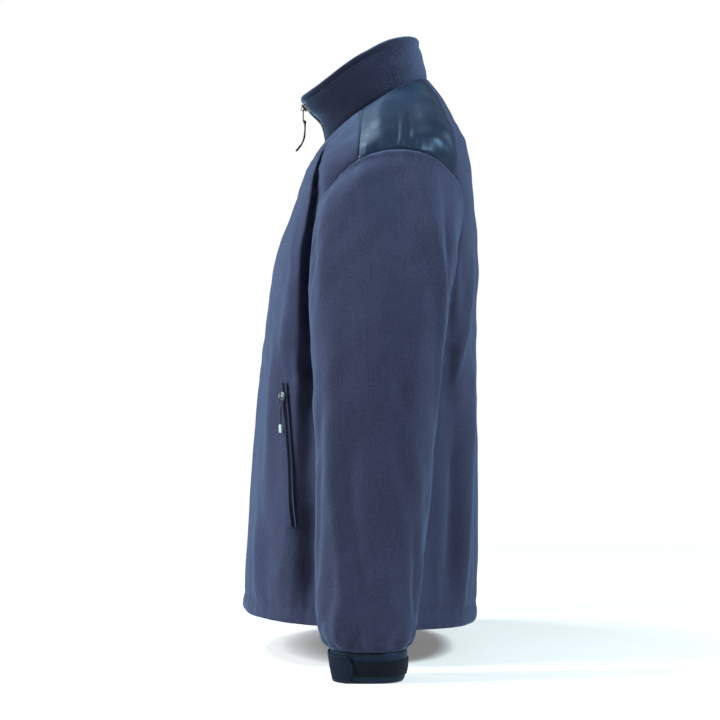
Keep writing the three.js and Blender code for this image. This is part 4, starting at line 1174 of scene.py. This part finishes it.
def build_sleeve(side):
    arm = ARMS[side]
    k = np.linspace(0, ARMHOLE_STEPS, SLEEVE_COLUMNS, endpoint=False)
    k, w = np.meshgrid(k, spaced(SLEEVE_LENGTH, 4.0) * SLEEVE_ROWS)
    points = arm.surface(k, w)
    down = lengths(points, 0)
    normals = turn_to_seam(arm.normal(k, w), arm.seam_normal(k[0])[None], down)
    angle = np.unwrap(np.radians(arm.angle(k[0])))
    angle = np.append(angle, 2 * angle[-1] - angle[-2])
    across = np.broadcast_to(angle * SLEEVE_RADIUS, (len(w), len(angle)))
    uvs = np.stack([across, -np.concatenate([down, down[:, :1]], 1)], -1)
    seam_ridge = SEAM_RIDGE["height"] * np.exp(-(((down - ARMHOLE_STITCH) / SEAM_RIDGE["width"]) ** 2))
    points, normals = sided(side, points + normals * seam_ridge[..., None], normals)
    roll_seams("sleeve_" + side, [(closed(points[row]), closed(normals[row])) for row in (0, -1)])
    look = LOOKS["fleece"]
    obj = shell("sleeve_" + side, points, normals, FLEECE, look, wrapped=True, uvs=uvs, flip=side != "right")
    path, row = at_depth(points, ARMHOLE_STITCH)
    sew("stitches_armhole_" + side, [(path, normals[row, np.arange(SLEEVE_COLUMNS)])])
    dress(obj, "sleeve_" + side)


def side_shell(name, side, points, normals, thick, material, **more):
    points, normals = sided(side, points, normals)
    return shell(name + "_" + side, points, normals, thick, material, flip=side != "right", **more)


def build_cuff(side):
    angle = np.linspace(0, 360, CUFF_COLUMNS, endpoint=False)
    angle, w = np.meshgrid(angle, spaced(CUFF_HEIGHT, 2.4, (0.6, 1.5)) * CUFF_ROWS)
    normals = cuff_normal(angle, w)
    wave = np.sin(np.radians(angle) * 14 + 1.4 * np.sin(np.radians(angle) * 3))
    points = cuff(angle, w) + normals * (CUFF_WAVE * wave * np.exp(-((w / 0.7) ** 2)))[..., None]
    obj = side_shell("cuff", side, points, normals, FLEECE, LOOKS["cuff"], wrapped=True)
    dress(obj, "cuff_" + side)


def build_loop_tape(side):
    angle = np.linspace(LOOP_TAPE["from"], LOOP_TAPE["to"], 70)
    angle, w = np.meshgrid(angle, np.linspace(LOOP_TAPE["top"], LOOP_TAPE["foot"], 12))
    normals = cuff_normal(angle, w)
    points = cuff(angle, w) + normals * (LIFT + CUFF_WAVE + LOOP_TAPE["thick"])
    obj = side_shell("cuff_loop_tape", side, points, normals, LOOP_TAPE["thick"], LOOKS["loop_tape"], dip=0.4)
    dress(obj, "cuff_loop_tape_" + side)


def tab_grid():
    t = spaced(TAB_HEIGHT, 2.4, (0.5, 1.3))[:, None]
    s = spaced(TAB_LENGTH, 3.0, (0.5, 1.3))[None]
    cut = TAB["cut"] * smoothstep(s, 0.93, 1.0) ** 1.5
    w = TAB["top"] + (TAB["foot"] - TAB["top"]) * (cut + (1 - 2 * cut) * t)
    angle = np.broadcast_to(TAB["from"] + (TAB["to"] - TAB["from"]) * s, w.shape)
    return angle, w, s, t


def tab_lift(angle):
    """How far the tab's inner side stands off the cuff: it climbs over the end of the loop tape."""
    over = smoothstep(angle, LOOP_TAPE["from"] - 24, LOOP_TAPE["from"] - 3)
    return LIFT + (LOOP_TAPE["thick"] + LIFT) * over + CUFF_WAVE


def build_tab(side):
    angle, w, s, t = tab_grid()
    normals = cuff_normal(angle, w)
    groove = 0.45 * np.exp(-(((0.5 - np.abs(t - 0.5)) * TAB_HEIGHT - 4) ** 2))
    bend = 0.25 * np.sin(s * 21) * np.sin(t * np.pi)
    points = cuff(angle, w) + normals * (tab_lift(angle) + TAB["thick"] - groove + bend)[..., None]
    obj = side_shell("cuff_tab", side, points, normals, TAB["thick"], LOOKS["tab"], dip=0.7)
    low, high = 3, -4
    lines = [np.s_[low, low:high], np.s_[high, low:high], np.s_[low:high, high]]
    rows = [sided(side, points[line], normals[line]) for line in lines]
    sew("stitches_tab_" + side, rows, "woven", long=2.4, gap=0.9, radius=0.3)
    dress(obj, "cuff_tab_" + side)


# Zips


def centre_front(spacing=2.0):
    """Points up the front's middle line, with normals, from the hem to the top of the zip."""
    v = np.linspace(0, NECK, 340)
    w = np.linspace(0, ZIP_TOP, 60)[1:]
    points = np.concatenate([torso(np.zeros_like(v), v), collar(np.zeros_like(w), w)])
    distance = lengths(points, 0)
    smooth = at_distance(np.arange(0, distance[-1], spacing), distance, points)
    for _ in range(6):
        smooth[1:-1] = (smooth[:-2] + 2 * smooth[1:-1] + smooth[2:]) / 4
    along = unit(np.gradient(smooth, axis=0))
    normals = np.stack([0 * along[:, 0], -along[:, 2], along[:, 1]], -1)
    return smooth, normals, along


def box_mesh(centre, axes, size):
    """A small block with its corners drawn in on the outer face."""
    corners = []
    for out in (0, 1):
        slim = 0.8 if out else 1.0
        for a, b in ((-1, -1), (1, -1), (1, 1), (-1, 1)):
            offset = (a * size[0] / 2 * slim, b * size[1] / 2 * slim, (out - 0.5) * size[2])
            corners.append(centre + sum(axis * x for axis, x in zip(axes, offset)))
    faces = [(3, 2, 1, 0), (4, 5, 6, 7), (0, 1, 5, 4), (1, 2, 6, 5), (2, 3, 7, 6), (3, 0, 4, 7)]
    return np.array(corners), np.array(faces)


def build_zip():
    points, normals, along = centre_front()
    across = np.array([1.0, 0, 0])
    for side, sign in (("left", 1), ("right", -1)):
        near, far = sorted((sign * ZIP_TAPE["from_x"], sign * ZIP_TAPE["to_x"]))
        x = np.linspace(near, far, 6)[None, :, None]
        grid = points[:, None] + normals[:, None] * ZIP_TAPE["out"] + across * x
        out = np.broadcast_to(normals[:, None], grid.shape)
        obj = shell("zip_tape_" + side, grid, out, ZIP_TAPE["thick"], LOOKS["zip_tape"], dip=0.25)
        dress(obj, "zip_tape_" + side)
    points, normals, along = centre_front(ZIP_TOOTH["pitch"] / 2)
    deep = ZIP_TOOTH["head"] - ZIP_TOOTH["foot"]
    parts = []
    for i in range(1, len(points) - 1):
        sign = 1 if i % 2 else -1
        middle = points[i] + normals[i] * (ZIP_TOOTH["head"] - deep / 2)
        middle = middle + across * sign * (ZIP_TOOTH["reach"] / 2 - 0.2)
        size = (ZIP_TOOTH["reach"] + 0.4, ZIP_TOOTH["long"] * 0.8, deep)
        parts.append(box_mesh(middle, (across, along[i], normals[i]), size))
    obj = new_object("zip_teeth", *joined_mesh(parts), material=LOOKS["teeth"])
    obj.data.polygons.foreach_set("use_smooth", np.zeros(len(obj.data.polygons), bool))
    dress(obj, "zip_chain")


def loop_mesh(length, half_width, radius, count=40, sides=10):
    """A loop of cord that hangs from its hinge."""
    turn = np.linspace(0, 2 * np.pi, count, endpoint=False)
    out = np.stack([np.sin(turn), 0 * turn, np.cos(turn)], -1)
    drop = np.where(np.cos(turn) > 1e-6, 0, length - 2 * half_width)
    centre = np.stack([half_width * np.sin(turn), 0 * turn, half_width * (np.cos(turn) - 1) - drop], -1)
    around_cord = np.linspace(0, 2 * np.pi, sides, endpoint=False)
    side = np.array([0.0, 1.0, 0.0])
    ring = out[:, None] * np.cos(around_cord)[None, :, None] + side * np.sin(around_cord)[None, :, None]
    points = centre[:, None] + ring * radius
    i, j = (x.ravel() for x in np.meshgrid(np.arange(count), np.arange(sides), indexing="ij"))
    next_i, next_j = (i + 1) % count, (j + 1) % sides
    faces = np.stack([i * sides + j, i * sides + next_j, next_i * sides + next_j, next_i * sides + j], 1)
    return points.reshape(-1, 3), faces


def closed_rod(path, radii, sides=16):
    """A rod with rounded ends."""
    path, radii = np.asarray(path, float), np.asarray(radii, float)
    t = np.linspace(0, len(path) - 1, 6 * len(path))
    fine = np.stack([between(path[:, c], t) for c in range(3)], -1)
    thick = between(radii, t)
    ends = unit(np.stack([fine[0] - fine[1], fine[-1] - fine[-2]]))
    bulge = np.array([0.25, 0.75, 1.0])
    slim = np.sqrt(np.maximum(1 - bulge**2, 0.0004))
    head = fine[0] + ends[0] * (bulge * thick[0] * 0.7)[:, None]
    foot = fine[-1] + ends[1] * (bulge * thick[-1] * 0.7)[:, None]
    fine = np.concatenate([head[::-1], fine, foot])
    thick = np.concatenate([thick[0] * slim[::-1], thick, thick[-1] * slim])
    return rod_mesh(fine, thick, sides)


def placed(mesh, hinge, axes):
    """A mesh in a pull's own axes, set in the part's frame."""
    points, faces = mesh
    return points @ axes + hinge, faces


def hinge_of(name):
    """Where a pull hangs: its hinge and its own axes, across the zip, out of the jacket and up."""
    joint = next(j for j in frame["record"]["behaviour"]["joints"] if j["name"] == name)
    hinge = np.array(joint["pos_m"]) / MM
    across = -np.array(joint["axis"], float)
    outward = np.cross([0.0, 0, 1], across)
    if outward @ [hinge[0], hinge[1], 0] < 0:
        across, outward = -across, -outward
    return hinge, np.stack([across, outward, [0.0, 0, 1]])


def build_front_pull():
    hinge, axes = hinge_of("front_pull_swing")
    loop = loop_mesh(FRONT_PULL["loop"], FRONT_PULL["half_width"], FRONT_PULL["cord"])
    obj = new_object("front_pull_cord", *placed(loop, hinge, axes), material=LOOKS["pull_cord"])
    dress(obj, "front_zip_pull", "front_pull")
    path = np.stack([0 * GRIP["out"], GRIP["out"], -GRIP["down"]], -1)
    grip = closed_rod(path, GRIP["radius"])
    obj = new_object("front_pull_grip", *placed(grip, hinge, axes), material=LOOKS["pull_grip"])
    trim(obj, "front_pull")


def build_pocket_pull(side):
    body = "pocket_pull_body_" + side
    hinge, axes = hinge_of("pocket_pull_swing_" + side)
    pull = POCKET_PULL
    loop = loop_mesh(pull["loop"], pull["half_width"], pull["cord"])
    name = "pocket_pull_cord_" + side
    obj = new_object(name, *placed(loop, hinge, axes), material=LOOKS["pull_cord"])
    dress(obj, "pocket_pull_" + side, body)
    down = np.array([pull["loop"] - 1, pull["loop"] + 1, pull["loop"] + 4, pull["loop"] + pull["grip"]])
    path = np.stack([0 * down, 0 * down, -down], -1)
    grip = closed_rod(path, [1.0, 1.5, pull["radius"], pull["radius"]])
    obj = new_object("pocket_pull_grip_" + side, *placed(grip, hinge, axes), material=LOOKS["pull_grip"])
    trim(obj, body)
    top = -pull["loop"] - pull["grip"] - 0.3
    tip = rounded_block(POCKET_TIP, (0, 0, top - POCKET_TIP[2] / 2), 0.5)
    obj = new_object("pocket_tip_" + side, *placed(tip, hinge, axes), material=LOOKS["pull_tip"])
    dress(obj, "pocket_pull_tip_" + side, body)


def rounded_block(size, centre, radius, steps=3):
    """A block with round edges, from a cube's grid pulled in to its core and pushed out again."""
    cuts = np.linspace(-1, 1, 2 * steps + 3)
    a, b = np.meshgrid(cuts, cuts)
    points, faces = [], []
    for axis in range(3):
        for sign in (-1, 1):
            side = np.zeros(a.shape + (3,))
            side[..., axis] = sign
            side[..., (axis + 1) % 3] = a
            side[..., (axis + 2) % 3] = b
            quads, _ = grid_faces(*a.shape, False)
            faces.append((quads if sign > 0 else quads[:, ::-1]) + len(points) * a.size)
            points.append(side.reshape(-1, 3))
    cube = np.concatenate(points)
    half = np.array(size) / 2
    core = np.clip(cube * half, -(half - radius), half - radius)
    block = core + unit(cube * half - core + cube * 1e-4) * radius
    return block + np.array(centre), np.concatenate(faces)


def pocket_on(trunk):
    """The pocket's own surface: millimetres across it and a share up it."""

    def at(u, t):
        phi = POCKET["foot_phi"] + (POCKET["top_phi"] - POCKET["foot_phi"]) * t + u / POCKET["mm_per_degree"]
        return trunk(phi, POCKET["foot_v"] + (POCKET["top_v"] - POCKET["foot_v"]) * t)

    return at


def pocket_strip(name, side, from_u, to_u, thick, look, crown=0.0):
    surface = pocket_on(ARMS[side].trunk)
    u, t = np.meshgrid(np.linspace(from_u, to_u, 7), np.linspace(0, 1, 64))
    normals = normal_of(surface, u, t)
    rise = LIFT + thick + 0.1 + crown * np.sin(np.pi * (u - from_u) / (to_u - from_u)) ** 0.8
    points, normals = sided(side, surface(u, t) + normals * rise[..., None], normals)
    obj = shell(name + "_" + side, points, normals, thick, LOOKS[look], dip=0.8, flip=side == "right")
    dress(obj, name + "_" + side)


def build_pocket(side):
    pocket_strip("pocket_lip_front", side, -LIP["far"], -LIP["near"], LIP["thick"], "fleece", LIP["crown"])
    pocket_strip("pocket_lip_back", side, LIP["near"], LIP["far"], LIP["thick"], "fleece", LIP["crown"])
    half = POCKET_ZIP["half_width"]
    pocket_strip("pocket_zip", side, -half, half, POCKET_ZIP["thick"], "zip_tape")
    build_pocket_pull(side)


def yoke_stitches(corner, neck, step, is_right):
    """A row beside a yoke's front or back seam, from the armhole to the neck."""
    share = np.linspace(0.04, 0.96, 60)
    low, high = YOKE_MM_PER_DEGREE
    away = step * YOKE_STITCH / (low + (high - low) * share)
    from_phi, from_v = ARMHOLE["phi"][corner], ARMHOLE["v"][corner]
    return on_trunk(from_phi + (neck - from_phi) * share + away, from_v + (NECK - from_v) * share, is_right)


def stitch_trunk():
    """Rows along the hem, beside the front zip, beside each yoke and round each pocket."""
    v = np.linspace(0.07, NECK - 0.1, 300)
    phi = np.linspace(4, SIDE_SEAM - 1, 160)
    for side in ("left", "right"):
        is_right = side == "right"
        rows = [
            on_trunk(phi, HEM_STITCH["v"], is_right),
            on_trunk(beside_zip(TORSO, v, ZIP_STITCH), v, is_right),
            yoke_stitches(YOKE_FRONT, NECK_AT_YOKE_FRONT, -1, is_right),
        ]
        sew("stitches_front_" + side, rows)
        sew("stitches_yoke_back_" + side, [yoke_stitches(YOKE_BACK, NECK_AT_YOKE_BACK, 1, is_right)])
        pocket_stitches(side)
    sew("stitches_back", [on_trunk(np.linspace(SIDE_SEAM + 1, 359 - SIDE_SEAM, 300), HEM_STITCH["v"])])


def pocket_stitches(side):
    """A closed row round the pocket, with a bar across each end."""
    surface = pocket_on(ARMS[side].trunk)
    far = LIP["far"] + 1.6
    corners = [(-far, -0.012), (-far, 1.012), (far, 1.012), (far, -0.012), (-far, -0.012)]
    rows = []
    for start, end in zip(corners, corners[1:]):
        share = np.linspace(0, 1, 70 if start[0] == end[0] else 8)
        u, t = (start[i] + (end[i] - start[i]) * share for i in (0, 1))
        rows.append(sided(side, surface(u, t), normal_of(surface, u, t)))
    sew("stitches_pocket_" + side, rows, long=2.6)


def stitch_collar():
    """A row below the collar's folded top, sunk into it, and one beside each side of the zip."""
    phi = np.linspace(3, 357, 400)
    high = np.full_like(phi, COLLAR_STITCH["w"])
    normals = normal_of(collar, phi, high)
    rows = [(collar(phi, high) - normals * COLLAR_STITCH["sunk"], normals)]
    up = np.linspace(0.08, COLLAR_STITCH["w"], 60)
    for sign in (1, -1):
        edge = sign * beside_zip(COLLAR, up, ZIP_STITCH)
        rows.append((collar(edge, up), normal_of(collar, edge, up)))
    sew("stitches_collar", rows, "collar_fleece")


def declare_sheets():
    """Makes, for each side, a list of the pieces sewn on the front, and does nothing more with it."""
    for side in ("left", "right"):
        sewn_on_front = [f"zip_tape_{side}_cloth", f"pocket_zip_{side}_cloth"]
        sewn_on_front += [f"pocket_lip_front_{side}_cloth", f"pocket_lip_back_{side}_cloth"]
        sewn_on_front += [f"stitches_front_{side}", f"stitches_pocket_{side}", f"seams_front_{side}"]


def build_stage():
    """A pale floor that turns to plain white some way out, as a studio's does."""
    lowest = cad_box[0][2]
    bpy.ops.mesh.primitive_plane_add(size=FLOOR["size"], location=(0, 0, lowest - 0.0005))
    floor = bpy.context.object
    floor.name = "floor"
    look = Nodes("floor", "solid")
    far = look.add("ShaderNodeVectorMath", operation="LENGTH")
    look.link(look.place((1, 1, 0)), far.inputs[0])
    fade = look.add("ShaderNodeMapRange", interpolation_type="SMOOTHSTEP")
    for key, value in (("From Min", FLOOR["near"]), ("From Max", FLOOR["far"])):
        fade.inputs[key].default_value = value
    look.link(far.outputs["Value"], fade.inputs["Value"])
    out = fade.outputs["Result"]
    black, glow, white = ((level,) * 3 for level in (0.0, FLOOR["glow"], 1.0))
    look.set(Base_Color=look.mix(out, FLOOR["pale"], black), Emission_Color=look.mix(out, glow, white))
    look.set(Roughness=1.0, Specular_IOR_Level=0.0, Emission_Strength=1.0)
    floor.data.materials.append(look.material)


def build_world():
    """A white backdrop, which itself gives only a little light."""
    world = bpy.data.worlds.new("studio")
    world.use_nodes = True
    nodes, links = world.node_tree.nodes, world.node_tree.links
    seen = nodes.new("ShaderNodeLightPath").outputs["Is Camera Ray"]
    level = nodes.new("ShaderNodeMapRange")
    links.new(seen, level.inputs["Value"])
    level.inputs["To Min"].default_value = FILL_LEVEL
    level.inputs["To Max"].default_value = 1.0
    links.new(level.outputs["Result"], nodes["Background"].inputs["Strength"])
    nodes["Background"].inputs["Color"].default_value = (1, 1, 1, 1)
    bpy.context.scene.world = world


def build_lights():
    for i, row in enumerate(rows_of(LIGHTS)):
        data = bpy.data.lights.new(f"softbox_{i + 1}", "AREA")
        data.shape = "RECTANGLE"
        data.size, data.size_y = row["wide"], row["tall"]
        data.energy = row["power"]
        data.color = (row["red"], row["green"], row["blue"])
        obj = bpy.data.objects.new(data.name, data)
        obj.location = (row["x"], row["y"], row["z"])
        ahead = Vector((row["toX"], row["toY"], row["toZ"])) - obj.location
        obj.rotation_euler = ahead.to_track_quat("-Z", "Y").to_euler()
        bpy.context.scene.collection.objects.link(obj)
    bpy.context.scene.view_settings.view_transform = "Standard"


def build_camera():
    data = bpy.data.cameras.new("camera")
    data.lens = CAMERA["lens"]
    data.sensor_width = CAMERA["sensor"]
    obj = bpy.data.objects.new("camera", data)
    obj.location = CAMERA["place"]
    obj.rotation_euler = (math.radians(90), 0, math.radians(90))
    bpy.context.scene.collection.objects.link(obj)
    bpy.context.scene.camera = obj


build_front("left")
build_front("right")
build_back()
for one_side in ("left", "right"):
    build_yoke(one_side)
    build_sleeve(one_side)
    build_cuff(one_side)
    build_loop_tape(one_side)
    build_tab(one_side)
    build_pocket(one_side)
    finish_node("pocket_slider_" + one_side, "bright_metal")
finish_node("front_zip_slider", "dark_metal")
build_collar()
build_zip()
build_front_pull()
stitch_trunk()
stitch_collar()
declare_sheets()
build_stage()
build_world()
build_lights()
build_camera()
